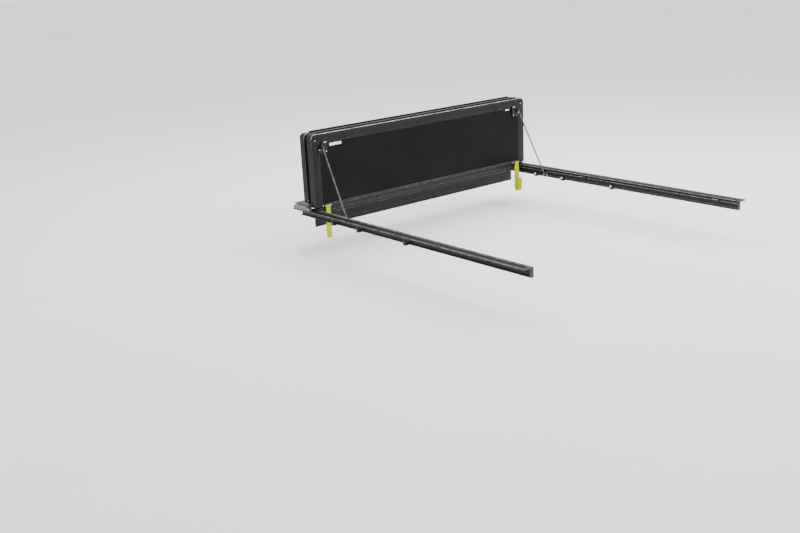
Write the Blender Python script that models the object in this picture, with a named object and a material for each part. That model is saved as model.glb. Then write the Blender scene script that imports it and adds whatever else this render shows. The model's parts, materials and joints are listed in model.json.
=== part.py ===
"""Hard quad-fold tonneau cover, folded and flipped up on its two prop rods.

Frame: metres, +X to the truck's right, +Y towards the cab, +Z up. The origin is on the seat of the header,
at the middle of the bulkhead, in the plane where the side rails rest on the bed.
Four panels hinge to each other and to the header. Folded, they stand on edge above the header's rear edge:
the front panel shows its underside to the tailgate, and the others stand behind it, towards the cab.
"""

import math

import bmesh
import bpy
from mathutils import Matrix, Vector

# ---- driving dimensions -------------------------------------------------------------------------------
RAIL_LENGTH = 1.750
RAIL_INNER_X = 0.770
LEDGE_WIDTH = 0.062
LEDGE_THICKNESS = 0.004
WEB_DROP = 0.042
WEB_THICKNESS = 0.004
FOOT_WIDTH = 0.016
RIB_HEIGHT = 0.002
RIB_WIDTH = 0.003
LIP_HEIGHT = 0.0025

SEAL_WIDTH = 0.014
SEAL_THICKNESS = 0.003
SEAL_INSET = 0.020
SEAL_END_GAP = 0.003

PANEL_OVER_RAIL = 0.036
PANEL_THICKNESS = 0.020
FRAME_BAR = 0.052
CORNER_RADIUS = 0.025
SKIN_THICKNESS = 0.0025
SKIN_INSET = 0.0005
BOARD_RECESS = 0.003

LAP_LENGTH = 0.042
LAP_SILL = 0.010
LAP_REBATE = 0.0055
LAP_SIDE = 0.003
FACE_GAP = 0.001
EDGE_GAP = 0.005
REAR_END_GAP = 0.0025
SIDE_GAP = 0.002

HEADER_DEPTH = 0.1845
HEADER_FRONT = 0.030
HEADER_THICKNESS = 0.004
HEADER_SEAT_WIDTH = 0.060
APRON_GAP = 0.0115
APRON_BOTTOM = -0.100
HEADER_BAY_CLEARANCE = 0.006

KNUCKLE_RADIUS = 0.0035
KNUCKLE_COUNT = 9
KNUCKLE_SIDES = 12
KNUCKLE_END_GAP = 0.00025
HINGE_END_SET = 0.015
HINGE_LEAF = 0.0028
LEAF_EMBED = 0.004
PIN_RADIUS = 0.0015
PIN_CLEARANCE = 0.0004
PIN_END = 0.002

CLAMP_PLACES = (-0.315, -0.533, -0.910)
CLAMP_LENGTH = 0.020
CLAMP_THICKNESS = 0.006
CLAMP_JAW_HEIGHT = 0.034
CLAMP_LIP_HEIGHT = 0.024
FLANGE_SPACE = 0.020

STRIKER_LENGTH = 0.046
STRIKER_SHELF = 0.010
STRIKER_THICKNESS = 0.0028
STRIKER_DROP = 0.022

MIDDLE_LATCH_SET = 0.0835
REAR_LATCH_SET = 0.0795
BOLT_RADIUS = 0.0035
BOLT_PLAY = 0.0007
BOLT_TRAVEL = 0.009
BOLT_END_GAP = 0.0013
BOLT_TIP_GAP = 0.004
BOLT_CLEARANCE = 0.0004
HOUSING_LENGTH = 0.052
HOUSING_WIDTH = 0.040
HOUSING_COVER = 0.0049
LATCH_GAP = 0.0045
CABLE_RADIUS = 0.0015
HANDLE_WIDTH = 0.110
HANDLE_HEIGHT = 0.030
HANDLE_THICKNESS = 0.010
HANDLE_WALL = 0.007

ROD_TOP_SIDE_SET = 0.061
ROD_TOP_STAND_OFF = 0.0165
ROD_TOP_SET = 0.0731
ROD_FOOT_SIDE_GAP = 0.0128
ROD_FOOT_REACH = 0.2005
ROD_RADIUS = 0.004
ROD_EYE_RADIUS = 0.0075
ROD_EYE_HALF = 0.003
ROD_NECK_RADIUS = 0.0027
ROD_NECK_START = 0.005
ROD_NECK_END = 0.013
ROD_SHAFT_START = 0.010
ROD_PIN_RADIUS = 0.0025
ROD_PIN_CLEARANCE = 0.0004
ROD_FOOT_RADIUS = 0.009
ROD_FOOT_HALF = 0.0019
KNUCKLE_BASE_RADIUS = 0.012
KNUCKLE_BASE = 0.004
EAR_THICKNESS = 0.003
EAR_GAP = 0.0005
BRACKET_THICKNESS = 0.003
BRACKET_INNER = 0.040
BRACKET_OUTER = 0.019
BRACKET_HALF_HEIGHT = 0.034
BRACKET_SIDE_EDGE = 0.022
BRACKET_TOP_EDGE = 0.026
BRACKET_CORNER = (0.008, 0.006)
ROD_STOW_ANGLE = 98.0
CLIP_SET = 0.165
CLIP_WIDTH = 0.018

RECEIVER_LENGTH = 0.044
RECEIVER_HEIGHT = 0.034
RECEIVER_STUD_RADIUS = 0.006

STRAP_SIDE_GAP = 0.040
STRAP_WIDTH = 0.030
STRAP_THICKNESS = 0.0044
STRAP_LENGTH = 0.181
STRAP_TOP_GAP = 0.0008
LOOP_INSET = 0.0091
LOOP_STAND_OFF = 0.00875
LOOP_BAR = 0.0025
LOOP_HEIGHT = 0.004
LOOP_CLEARANCE = 0.0015

GAP = 0.0003

# ---- dimensions that follow ---------------------------------------------------------------------------
PANEL_WIDTH = 2 * (RAIL_INNER_X + PANEL_OVER_RAIL)
UNDER_Z = LEDGE_THICKNESS + GAP + SEAL_THICKNESS + GAP
TOP_Z = UNDER_Z + PANEL_THICKNESS
HEADER_REAR = HEADER_FRONT - HEADER_DEPTH
AXIS_OFFSET = FACE_GAP / 2
HINGE_HALF_LENGTH = RAIL_INNER_X - HINGE_END_SET

# a bolt passes just under the striker's shelf, and the space between the undersides holds its housing
BOLT_DEPTH = UNDER_Z + STRIKER_THICKNESS + BOLT_RADIUS + BOLT_PLAY
HOUSING_DEPTH = BOLT_DEPTH + HOUSING_COVER
UNDER_GAP = HOUSING_DEPTH + LATCH_GAP

# the closed cover is the front panel's pitch and three shorter ones, and ends just before the rails do
MIDDLE_AXIS_Z = TOP_Z + FACE_GAP + KNUCKLE_RADIUS
HEADER_AXIS = Vector((0, HEADER_REAR - EDGE_GAP, TOP_Z + AXIS_OFFSET))
PITCH_STEP = MIDDLE_AXIS_Z - HEADER_AXIS.z
FRONT_PITCH = (RAIL_LENGTH + HEADER_AXIS.y + 3 * PITCH_STEP - REAR_END_GAP) / 4
FRONT_AXIS = HEADER_AXIS + Vector((0, 0, FRONT_PITCH))
PANEL_TOP = FRONT_AXIS.z - EDGE_GAP
PANEL_BOTTOM = MIDDLE_AXIS_Z + EDGE_GAP
LAP_BOTTOM = HEADER_AXIS.z - LAP_LENGTH
APRON_Y = HEADER_AXIS.y + LAP_LENGTH + APRON_GAP

# top and underside planes of the four panels, folded, from the tailgate side to the cab side
FRONT_TOP_Y = HEADER_AXIS.y - AXIS_OFFSET
FRONT_UNDER_Y = FRONT_TOP_Y - PANEL_THICKNESS
SECOND_TOP_Y = HEADER_AXIS.y + AXIS_OFFSET
SECOND_UNDER_Y = SECOND_TOP_Y + PANEL_THICKNESS
THIRD_UNDER_Y = SECOND_UNDER_Y + UNDER_GAP
THIRD_TOP_Y = THIRD_UNDER_Y + PANEL_THICKNESS
REAR_TOP_Y = THIRD_TOP_Y + FACE_GAP
REAR_UNDER_Y = REAR_TOP_Y + PANEL_THICKNESS
MIDDLE_AXIS = Vector((0, SECOND_UNDER_Y + UNDER_GAP / 2, MIDDLE_AXIS_Z))
REAR_AXIS = Vector((0, THIRD_TOP_Y + AXIS_OFFSET, FRONT_AXIS.z))

# each striker is on the rail where the closed cover's latch comes to lie
MIDDLE_LATCH_Z = PANEL_TOP - FRAME_BAR - MIDDLE_LATCH_SET
REAR_LATCH_Z = PANEL_BOTTOM + FRAME_BAR + REAR_LATCH_SET
FLAT_FRONT_FOLD_Y = HEADER_AXIS.y - FRONT_PITCH
FLAT_REAR_FOLD_Y = FLAT_FRONT_FOLD_Y - 2 * (FRONT_AXIS.z - MIDDLE_AXIS_Z)
STRIKER_MIDDLE_Y = FLAT_FRONT_FOLD_Y - (FRONT_AXIS.z - MIDDLE_LATCH_Z)
STRIKER_REAR_Y = FLAT_REAR_FOLD_Y - (REAR_AXIS.z - REAR_LATCH_Z)

# the right side's prop rod, from its pivot on the front panel to its foot at the middle of the rail's web
ROD_TOP = Vector(
    (PANEL_WIDTH / 2 - ROD_TOP_SIDE_SET, FRONT_UNDER_Y - ROD_TOP_STAND_OFF, PANEL_TOP - ROD_TOP_SET)
)
ROD_FOOT = Vector((RAIL_INNER_X - ROD_FOOT_SIDE_GAP, ROD_TOP.y - ROD_FOOT_REACH, -WEB_DROP / 2))
CLIP_X = ROD_TOP.x - CLIP_SET
STRAP_X = RAIL_INNER_X - STRAP_SIDE_GAP
STRAP_Z = HEADER_AXIS.z + LAP_SILL - LOOP_INSET

MATERIALS = {
    "black_aluminium": ("#26282B", 0.42, 0.7),
    "bare_aluminium": ("#A9ABAC", 0.35, 1.0),
    "steel": ("#9A9C9E", 0.30, 1.0),
    "dark_steel": ("#55585A", 0.40, 0.9),
    "rubber": ("#151515", 0.80, 0.0),
    "black_plastic": ("#1B1C1D", 0.55, 0.0),
    "top_skin": ("#1D1E1F", 0.65, 0.2),
    "under_board": ("#242527", 0.75, 0.0),
    "webbing": ("#C9E227", 0.80, 0.0),
}


# ---- scene helpers ------------------------------------------------------------------------------------
def clear_scene():
    for old in list(bpy.data.objects):
        bpy.data.objects.remove(old, do_unlink=True)


def new_collection(name):
    collection = bpy.data.collections.new(name)
    bpy.context.scene.collection.children.link(collection)
    return collection


def linear(channel):
    return channel / 12.92 if channel <= 0.04045 else ((channel + 0.055) / 1.055) ** 2.4


def material(name):
    found = bpy.data.materials.get(name)
    if found:
        return found
    colour, roughness, metallic = MATERIALS[name]
    made = bpy.data.materials.new(name)
    made.use_nodes = True
    shader = made.node_tree.nodes["Principled BSDF"]
    rgb = [linear(int(colour[i : i + 2], 16) / 255) for i in (1, 3, 5)]
    shader.inputs["Base Color"].default_value = (*rgb, 1.0)
    shader.inputs["Roughness"].default_value = roughness
    shader.inputs["Metallic"].default_value = metallic
    return made


class Body:
    """An empty on a joint's axis, and the pieces that it carries."""

    def __init__(self, name, pivot, parent=None):
        self.pivot = Vector(pivot)
        self.empty = bpy.data.objects.new(name + "_axis", None)
        self.empty.empty_display_size = 0.05
        self.empty.location = self.pivot
        PARTS.objects.link(self.empty)
        if parent:
            self.empty.parent = parent.empty
            self.empty.location = self.pivot - parent.pivot

    def add(self, name, mesh, finish):
        """Puts a mesh made in world coordinates on this body as a named sub-part."""
        mesh.transform(Matrix.Translation(-self.pivot))
        mesh.materials.clear()
        mesh.materials.append(material(finish))
        part = bpy.data.objects.new(name, mesh)
        part.parent = self.empty
        PARTS.objects.link(part)
        return part


def cutter(name, mesh):
    guide = bpy.data.objects.new(name, mesh)
    guide.hide_render = True
    guide.display_type = "WIRE"
    CUTTERS.objects.link(guide)
    return guide


def combine(part, mesh, operation, label):
    """A live Boolean on part, with a mesh made in world coordinates as its operand."""
    step = part.modifiers.new(label, "BOOLEAN")
    step.operation = operation
    step.solver = "EXACT"
    step.object = cutter(part.name + "_" + label, mesh)


# ---- shapes, all in world coordinates -----------------------------------------------------------------
def finished(shape, name):
    """The mesh of a bmesh, with its faces pointing out."""
    shape.normal_update()
    bmesh.ops.recalc_face_normals(shape, faces=shape.faces)
    mesh = bpy.data.meshes.new(name)
    shape.to_mesh(mesh)
    shape.free()
    return mesh


def joined(*meshes):
    """Several closed shapes that don't touch, as one operand for a Boolean."""
    shape = bmesh.new()
    for mesh in meshes:
        shape.from_mesh(mesh)
        bpy.data.meshes.remove(mesh)
    return finished(shape, "operand")


def block(low, high):
    """A box from its lowest to its highest corner."""
    low, high = Vector(low), Vector(high)
    shape = bmesh.new()
    bmesh.ops.create_cube(shape, size=1.0)
    size = high - low
    bmesh.ops.scale(shape, vec=size, verts=shape.verts)
    bmesh.ops.translate(shape, vec=(low + high) / 2, verts=shape.verts)
    return finished(shape, "block")


def rod_between(start, end, radius, sides):
    """A cylinder from one point to another."""
    start, end = Vector(start), Vector(end)
    along = end - start
    shape = bmesh.new()
    bmesh.ops.create_cone(
        shape, cap_ends=True, segments=sides, radius1=radius, radius2=radius, depth=along.length
    )
    turn = along.to_track_quat("Z", "Y").to_matrix().to_4x4()
    shape.transform(Matrix.Translation((start + end) / 2) @ turn)
    return finished(shape, "rod")


def plate(outlines, thickness, to_world):
    """A flat outline, with any holes, as a filled 2D curve; it fills 0 to thickness along its own Z."""
    curve = bpy.data.curves.new("outline", "CURVE")
    curve.dimensions = "2D"
    curve.fill_mode = "BOTH"
    curve.extrude = thickness / 2
    for outline in outlines:
        spline = curve.splines.new("POLY")
        spline.points.add(len(outline) - 1)
        for point, place in zip(spline.points, outline):
            point.co = (place[0], place[1], 0, 1)
        spline.use_cyclic_u = True
    guide = bpy.data.objects.new("outline", curve)
    CUTTERS.objects.link(guide)
    view = bpy.context.evaluated_depsgraph_get()
    mesh = bpy.data.meshes.new_from_object(guide.evaluated_get(view))
    bpy.data.objects.remove(guide)
    bpy.data.curves.remove(curve)
    shape = bmesh.new()
    shape.from_mesh(mesh)
    bpy.data.meshes.remove(mesh)
    bmesh.ops.remove_doubles(shape, verts=shape.verts, dist=1e-6)
    bmesh.ops.translate(shape, vec=(0, 0, thickness / 2), verts=shape.verts)
    shape.transform(to_world)
    return finished(shape, "plate")


def along_y(y):
    """Outline (x, z), thickness from y towards +Y."""
    return Matrix(((1, 0, 0, 0), (0, 0, 1, y), (0, 1, 0, 0), (0, 0, 0, 1)))


def along_x(x):
    """Outline (y, z), thickness from x towards +X."""
    return Matrix(((0, 0, 1, x), (1, 0, 0, 0), (0, 1, 0, 0), (0, 0, 0, 1)))


def along_z(z):
    """Outline (x, y), thickness from z towards +Z."""
    return Matrix.Translation((0, 0, z))


def rectangle(x0, z0, x1, z1):
    return [(x0, z0), (x1, z0), (x1, z1), (x0, z1)]


def rounded_rectangle(x0, z0, x1, z1, radius, steps=5):
    corners = ((x1, z0, -90), (x1, z1, 0), (x0, z1, 90), (x0, z0, 180))
    points = []
    for x, z, start in corners:
        cx = x - math.copysign(radius, x - (x0 + x1) / 2)
        cz = z - math.copysign(radius, z - (z0 + z1) / 2)
        for k in range(steps + 1):
            angle = math.radians(start + 90 * k / steps)
            points.append((cx + radius * math.cos(angle), cz + radius * math.sin(angle)))
    return points


def mirrored(outline, side):
    """An outline drawn for the right side, taken to the given side."""
    return [(side * a, b) for a, b in outline]


# ---- hinges -------------------------------------------------------------------------------------------
def knuckle_outline(axis, leg, low, high):
    """A knuckle round the axis with a leaf along leg, between two offsets to the left of its direction.

    axis and leg are (y, z). The round part runs from one edge of the leaf to the other.
    """
    reach = math.hypot(*leg)
    heading = math.atan2(leg[1], leg[0])
    first = math.asin(high / KNUCKLE_RADIUS)
    last = 2 * math.pi + math.asin(low / KNUCKLE_RADIUS)
    local = [(reach, low), (reach, high)]
    for k in range(KNUCKLE_SIDES + 1):
        angle = first + (last - first) * k / KNUCKLE_SIDES
        local.append((KNUCKLE_RADIUS * math.cos(angle), KNUCKLE_RADIUS * math.sin(angle)))
    c, s = math.cos(heading), math.sin(heading)
    return [(axis[0] + a * c - b * s, axis[1] + a * s + b * c) for a, b in local]


def knuckles(axis, leg, low, high, first):
    """Every second knuckle of a hinge, from knuckle first."""
    outline = knuckle_outline((axis.y, axis.z), leg, low, high)
    width = 2 * HINGE_HALF_LENGTH / KNUCKLE_COUNT
    made = []
    for k in range(first, KNUCKLE_COUNT, 2):
        start = -HINGE_HALF_LENGTH + k * width + KNUCKLE_END_GAP
        made.append(plate([outline], width - 2 * KNUCKLE_END_GAP, along_x(start)))
    return made


def bore(axis):
    """The cutter for the hole that a hinge's pin runs in."""
    reach = HINGE_HALF_LENGTH + EDGE_GAP
    radius = PIN_RADIUS + PIN_CLEARANCE
    return rod_between((-reach, axis.y, axis.z), (reach, axis.y, axis.z), radius, KNUCKLE_SIDES)


def hinge_pin(body, name, axis):
    reach = HINGE_HALF_LENGTH + PIN_END
    mesh = rod_between((-reach, axis.y, axis.z), (reach, axis.y, axis.z), PIN_RADIUS, KNUCKLE_SIDES)
    body.add(name, mesh, "steel")


def top_knuckles(axis, side, up, first):
    """Knuckles on a panel's top face: side is the panel's side of the axis along Y, up its side along Z."""
    leg = (0, up * (EDGE_GAP + LEAF_EMBED))
    near, far = KNUCKLE_RADIUS - HINGE_LEAF, KNUCKLE_RADIUS
    left = -side * up
    low, high = (near, far) if left > 0 else (-far, -near)
    return knuckles(axis, leg, low, high, first)


def standing_knuckles(side, first):
    """Knuckles of the middle fold, on legs that stand clear of the undersides."""
    leg = (side * (UNDER_GAP / 2 + LEAF_EMBED), EDGE_GAP + LEAF_EMBED * 2)
    half = HINGE_LEAF / 2
    return knuckles(MIDDLE_AXIS, leg, -half, half, first)


# ---- fixed frame --------------------------------------------------------------------------------------
def rail_outline():
    """Cross-section (x, z) of the right side rail: ribbed ledge, inner web and foot."""
    inner, outer = RAIL_INNER_X, RAIL_INNER_X + LEDGE_WIDTH
    top, rib = LEDGE_THICKNESS, LEDGE_THICKNESS + RIB_HEIGHT
    second_rib = inner + 3 * RIB_WIDTH
    return [
        (inner, rib),
        (inner + RIB_WIDTH, rib),
        (inner + RIB_WIDTH, top),
        (second_rib, top),
        (second_rib, rib),
        (second_rib + RIB_WIDTH, rib),
        (second_rib + RIB_WIDTH, top),
        (outer - RIB_WIDTH, top),
        (outer - RIB_WIDTH, top + LIP_HEIGHT),
        (outer, top + LIP_HEIGHT),
        (outer, 0),
        (inner + WEB_THICKNESS, 0),
        (inner + WEB_THICKNESS, -WEB_DROP + WEB_THICKNESS),
        (inner + FOOT_WIDTH, -WEB_DROP + WEB_THICKNESS),
        (inner + FOOT_WIDTH, -WEB_DROP),
        (inner, -WEB_DROP),
    ]


def bracket_rear():
    """The rear end of the header brackets and the front end of the rail seals' run."""
    return HEADER_AXIS.y + LAP_LENGTH + EDGE_GAP


def add_rails(body, side, word):
    outline = mirrored(rail_outline(), side)
    body.add("side_rail_" + word, plate([outline], RAIL_LENGTH, along_y(-RAIL_LENGTH)), "black_aluminium")
    near = side * (RAIL_INNER_X + SEAL_INSET)
    far = near + side * SEAL_WIDTH
    seal_z = LEDGE_THICKNESS + GAP
    low = (min(near, far), -RAIL_LENGTH + EDGE_GAP, seal_z)
    high = (max(near, far), bracket_rear() - SEAL_END_GAP, seal_z + SEAL_THICKNESS)
    body.add("rail_seal_" + word, block(low, high), "rubber")


def add_header_bracket(body, side, word):
    """An L-shaped block on the rail's ledge, which carries the header and passes the panel's side."""
    inner = RAIL_INNER_X + 4 * RIB_WIDTH + SIDE_GAP
    outer = RAIL_INNER_X + LEDGE_WIDTH - RIB_WIDTH - GAP
    beside = PANEL_WIDTH / 2 + SIDE_GAP
    rear, nose = bracket_rear(), HEADER_REAR + EDGE_GAP
    outline = [(inner, rear), (beside, rear), (beside, nose), (outer, nose), (outer, -GAP), (inner, -GAP)]
    bottom = LEDGE_THICKNESS + GAP
    top = TOP_Z - HEADER_THICKNESS - GAP
    mesh = plate([mirrored(outline, side)], top - bottom, along_z(bottom))
    body.add("header_bracket_" + word, mesh, "bare_aluminium")


def header_outline():
    """Cross-section (y, z) of the header: top plate, front wall on its seat, and the apron."""
    t = HEADER_THICKNESS
    under = TOP_Z - t
    seat_rear = HEADER_FRONT - HEADER_SEAT_WIDTH
    return [
        (HEADER_REAR, TOP_Z),
        (HEADER_REAR, under),
        (APRON_Y, under),
        (APRON_Y, APRON_BOTTOM),
        (APRON_Y + t, APRON_BOTTOM),
        (APRON_Y + t, under),
        (HEADER_FRONT - t, under),
        (HEADER_FRONT - t, t),
        (seat_rear, t),
        (seat_rear, 0),
        (HEADER_FRONT, 0),
        (HEADER_FRONT, TOP_Z),
    ]


def add_header(body):
    half = PANEL_WIDTH / 2
    bay = RAIL_INNER_X - HEADER_BAY_CLEARANCE
    header = body.add("header", plate([header_outline()], PANEL_WIDTH, along_x(-half)), "black_aluminium")
    floor, roof = APRON_BOTTOM - EDGE_GAP, TOP_Z - HEADER_THICKNESS
    rear, front = HEADER_REAR - EDGE_GAP, HEADER_FRONT + EDGE_GAP
    ends = [
        block((-half - EDGE_GAP, rear, floor), (-bay, front, roof)),
        block((bay, rear, floor), (half + EDGE_GAP, front, roof)),
    ]
    combine(header, joined(*ends), "DIFFERENCE", "ends_over_the_rails")
    leg = (EDGE_GAP + LEAF_EMBED, 0)
    leaf = knuckles(HEADER_AXIS, leg, -KNUCKLE_RADIUS, HINGE_LEAF - KNUCKLE_RADIUS, 0)
    combine(header, joined(*leaf), "UNION", "knuckles")
    combine(header, bore(HEADER_AXIS), "DIFFERENCE", "bore")
    hinge_pin(body, "header_hinge_pin", HEADER_AXIS)


def add_clamp(body, side, word, number, y):
    """A hook under the rail's foot: a lip up the web's inner face and a jaw behind the bed's flange."""
    t = CLAMP_THICKNESS
    lip = RAIL_INNER_X - GAP
    jaw = RAIL_INNER_X + WEB_THICKNESS + FLANGE_SPACE
    top = -WEB_DROP - GAP
    lip_top, jaw_top = -WEB_DROP + CLAMP_LIP_HEIGHT, -WEB_DROP + CLAMP_JAW_HEIGHT
    outline = [
        (lip - t, lip_top),
        (lip - t, top - t),
        (jaw + t, top - t),
        (jaw + t, jaw_top),
        (jaw, jaw_top),
        (jaw, top),
        (lip, top),
        (lip, lip_top),
    ]
    mesh = plate([mirrored(outline, side)], CLAMP_LENGTH, along_y(y - CLAMP_LENGTH / 2))
    body.add(f"rail_clamp_{word}_{number}", mesh, "dark_steel")


def add_striker(body, side, name, y):
    """A plate on the web with a shelf that the latch bolt passes under."""
    wall = RAIL_INNER_X - GAP
    t = STRIKER_THICKNESS
    outline = [
        (wall, -GAP),
        (wall - STRIKER_SHELF, -GAP),
        (wall - STRIKER_SHELF, -t),
        (wall - t, -t),
        (wall - t, -STRIKER_DROP),
        (wall, -STRIKER_DROP),
    ]
    mesh = plate([mirrored(outline, side)], STRIKER_LENGTH, along_y(y - STRIKER_LENGTH / 2))
    body.add(name, mesh, "steel")


def add_receiver(body, side, word):
    """A plate on the web with the stud that a prop rod's foot rests on."""
    wall = RAIL_INNER_X - GAP
    t = BRACKET_THICKNESS
    y, z = ROD_FOOT.y, ROD_FOOT.z
    half = RECEIVER_LENGTH / 2
    outline = rounded_rectangle(
        y - half, z - RECEIVER_HEIGHT / 2, y + half, z + RECEIVER_HEIGHT / 2, ROD_RADIUS, 3
    )
    mesh = plate([outline], t, along_x(wall - t if side > 0 else -wall))
    receiver = body.add("rod_receiver_" + word, mesh, "dark_steel")
    end = ROD_FOOT.x + ROD_RADIUS + EAR_GAP
    root = wall - t / 2
    stud = rod_between((side * root, y, z), (side * end, y, z), RECEIVER_STUD_RADIUS, 16)
    combine(receiver, stud, "UNION", "stud")


def add_fixed_frame():
    body = Body("fixed_frame", (0, 0, 0))
    for side, word in ((-1, "left"), (1, "right")):
        add_rails(body, side, word)
        add_header_bracket(body, side, word)
        for number, y in enumerate(CLAMP_PLACES, 1):
            add_clamp(body, side, word, number, y)
        add_receiver(body, side, word)
        add_striker(body, side, "striker_middle_" + word, STRIKER_MIDDLE_Y)
        add_striker(body, side, "striker_rear_" + word, STRIKER_REAR_Y)
    add_header(body)
    return body


# ---- folding panels -----------------------------------------------------------------------------------
def add_panel(body, word, bottom, top_y, under_y, lower_bar=FRAME_BAR):
    """A frame round an opening, with the top skin and the core board in it, standing on edge."""
    half = PANEL_WIDTH / 2
    inner = half - FRAME_BAR
    low, high = bottom + lower_bar, PANEL_TOP - FRAME_BAR
    outlines = [
        rounded_rectangle(-half, bottom, half, PANEL_TOP, CORNER_RADIUS),
        rectangle(-inner, low, inner, high),
    ]
    mesh = plate(outlines, PANEL_THICKNESS, along_y(min(top_y, under_y)))
    frame = body.add(word + "_panel_frame", mesh, "black_aluminium")
    down = 1 if under_y > top_y else -1

    def layer(start, end):
        near, far = sorted((top_y + down * start, top_y + down * end))
        return block((-inner + GAP, near, low + GAP), (inner - GAP, far, high - GAP))

    board_top = SKIN_INSET + SKIN_THICKNESS + GAP
    board_under = PANEL_THICKNESS - BOARD_RECESS
    body.add(word + "_panel_skin", layer(SKIN_INSET, SKIN_INSET + SKIN_THICKNESS), "top_skin")
    body.add(word + "_panel_board", layer(board_top, board_under), "under_board")
    return frame


def fit_hinges(frame, leaves, axes):
    combine(frame, joined(*leaves), "UNION", "knuckles")
    combine(frame, joined(*[bore(axis) for axis in axes]), "DIFFERENCE", "bores")


def rail_notches():
    """Cutters that stop the lap at the rails, above which the panel's corners have to swing."""
    bay, beyond = RAIL_INNER_X - HEADER_BAY_CLEARANCE, PANEL_WIDTH / 2 + EDGE_GAP
    near, far = FRONT_UNDER_Y - EDGE_GAP, FRONT_TOP_Y + EDGE_GAP
    low, high = LAP_BOTTOM - EDGE_GAP, HEADER_AXIS.z - LAP_SIDE
    return block((-beyond, near, low), (-bay, far, high)), block((bay, near, low), (beyond, far, high))


def add_front_panel(root):
    body = Body("front_panel", HEADER_AXIS, root)
    lower_bar = LAP_LENGTH + LAP_SILL
    frame = add_panel(body, "front", LAP_BOTTOM, FRONT_TOP_Y, FRONT_UNDER_Y, lower_bar)
    step = block(
        (-PANEL_WIDTH, FRONT_TOP_Y - LAP_REBATE, LAP_BOTTOM - EDGE_GAP),
        (PANEL_WIDTH, FRONT_TOP_Y + EDGE_GAP, HEADER_AXIS.z + EDGE_GAP),
    )
    combine(frame, step, "DIFFERENCE", "lap_under_the_header")
    combine(frame, joined(*rail_notches()), "DIFFERENCE", "notches_over_the_rails")
    leaves = top_knuckles(HEADER_AXIS, -1, 1, 1) + top_knuckles(FRONT_AXIS, -1, -1, 0)
    fit_hinges(frame, leaves, (HEADER_AXIS, FRONT_AXIS))
    hinge_pin(body, "front_fold_pin", FRONT_AXIS)
    return body


def add_second_panel(front):
    body = Body("second_panel", FRONT_AXIS, front)
    frame = add_panel(body, "second", PANEL_BOTTOM, SECOND_TOP_Y, SECOND_UNDER_Y)
    leaves = top_knuckles(FRONT_AXIS, 1, -1, 1) + standing_knuckles(-1, 0)
    fit_hinges(frame, leaves, (FRONT_AXIS, MIDDLE_AXIS))
    hinge_pin(body, "middle_fold_pin", MIDDLE_AXIS)
    return body


def add_third_panel(second):
    body = Body("third_panel", MIDDLE_AXIS, second)
    frame = add_panel(body, "third", PANEL_BOTTOM, THIRD_TOP_Y, THIRD_UNDER_Y)
    leaves = top_knuckles(REAR_AXIS, -1, -1, 0) + standing_knuckles(1, 1)
    fit_hinges(frame, leaves, (REAR_AXIS, MIDDLE_AXIS))
    hinge_pin(body, "rear_fold_pin", REAR_AXIS)
    return body


def add_rear_panel(third):
    body = Body("rear_panel", REAR_AXIS, third)
    frame = add_panel(body, "rear", PANEL_BOTTOM, REAR_TOP_Y, REAR_UNDER_Y)
    fit_hinges(frame, top_knuckles(REAR_AXIS, 1, -1, 1), (REAR_AXIS,))
    reach = PANEL_WIDTH / 2 - CORNER_RADIUS
    low = (-reach, REAR_TOP_Y + SEAL_THICKNESS, TOP_Z + SIDE_GAP)
    high = (reach, REAR_UNDER_Y - SEAL_THICKNESS, PANEL_BOTTOM - GAP)
    body.add("rear_edge_seal", block(low, high), "rubber")
    return body


# ---- latches ------------------------------------------------------------------------------------------
def add_latches(panel, word, under_y, z):
    """A pair of sprung bolts on a panel's underside, with the cable and pull handle that draw them."""
    board = under_y - BOARD_RECESS + GAP
    centre = under_y + BOLT_DEPTH
    outer = PANEL_WIDTH / 2 - FRAME_BAR - GAP
    handle_body = Body(word + "_handle", (0, centre, z), panel)
    inner = outer - HOUSING_LENGTH
    for side, hand in ((-1, "left"), (1, "right")):
        left, right = sorted((side * inner, side * outer))
        low = (left, board, z - HOUSING_WIDTH / 2)
        high = (right, under_y + HOUSING_DEPTH, z + HOUSING_WIDTH / 2)
        housing = panel.add(f"{word}_latch_housing_{hand}", block(low, high), "black_plastic")
        start, end = (side * (inner - EDGE_GAP), centre, z), (side * (outer + EDGE_GAP), centre, z)
        guide = rod_between(start, end, BOLT_RADIUS + BOLT_CLEARANCE, 16)
        combine(housing, guide, "DIFFERENCE", "bolt_guide")
        tip = (side * (RAIL_INNER_X - BOLT_TIP_GAP), centre, z)
        tail = (side * (inner + BOLT_TRAVEL + BOLT_END_GAP), centre, z)
        bolt = Body(f"{word}_bolt_{hand}", tip, panel)
        bolt.add(f"{word}_latch_bolt_{hand}", rod_between(tail, tip, BOLT_RADIUS, 16), "steel")
    reach = inner - GAP
    cable = rod_between((-reach, centre, z), (reach, centre, z), CABLE_RADIUS, 10)
    panel.add(word + "_release_cable", cable, "dark_steel")
    top = z - CABLE_RADIUS - GAP
    half, wall = HANDLE_WIDTH / 2, HANDLE_WALL
    outlines = [
        rounded_rectangle(-half, top - HANDLE_HEIGHT, half, top, wall, 4),
        rounded_rectangle(-half + wall, top - HANDLE_HEIGHT + wall, half - wall, top - wall, wall / 2, 3),
    ]
    grip = plate(outlines, HANDLE_THICKNESS, along_y(centre - HANDLE_THICKNESS / 2))
    handle_body.add(word + "_release_handle", grip, "black_plastic")


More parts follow.
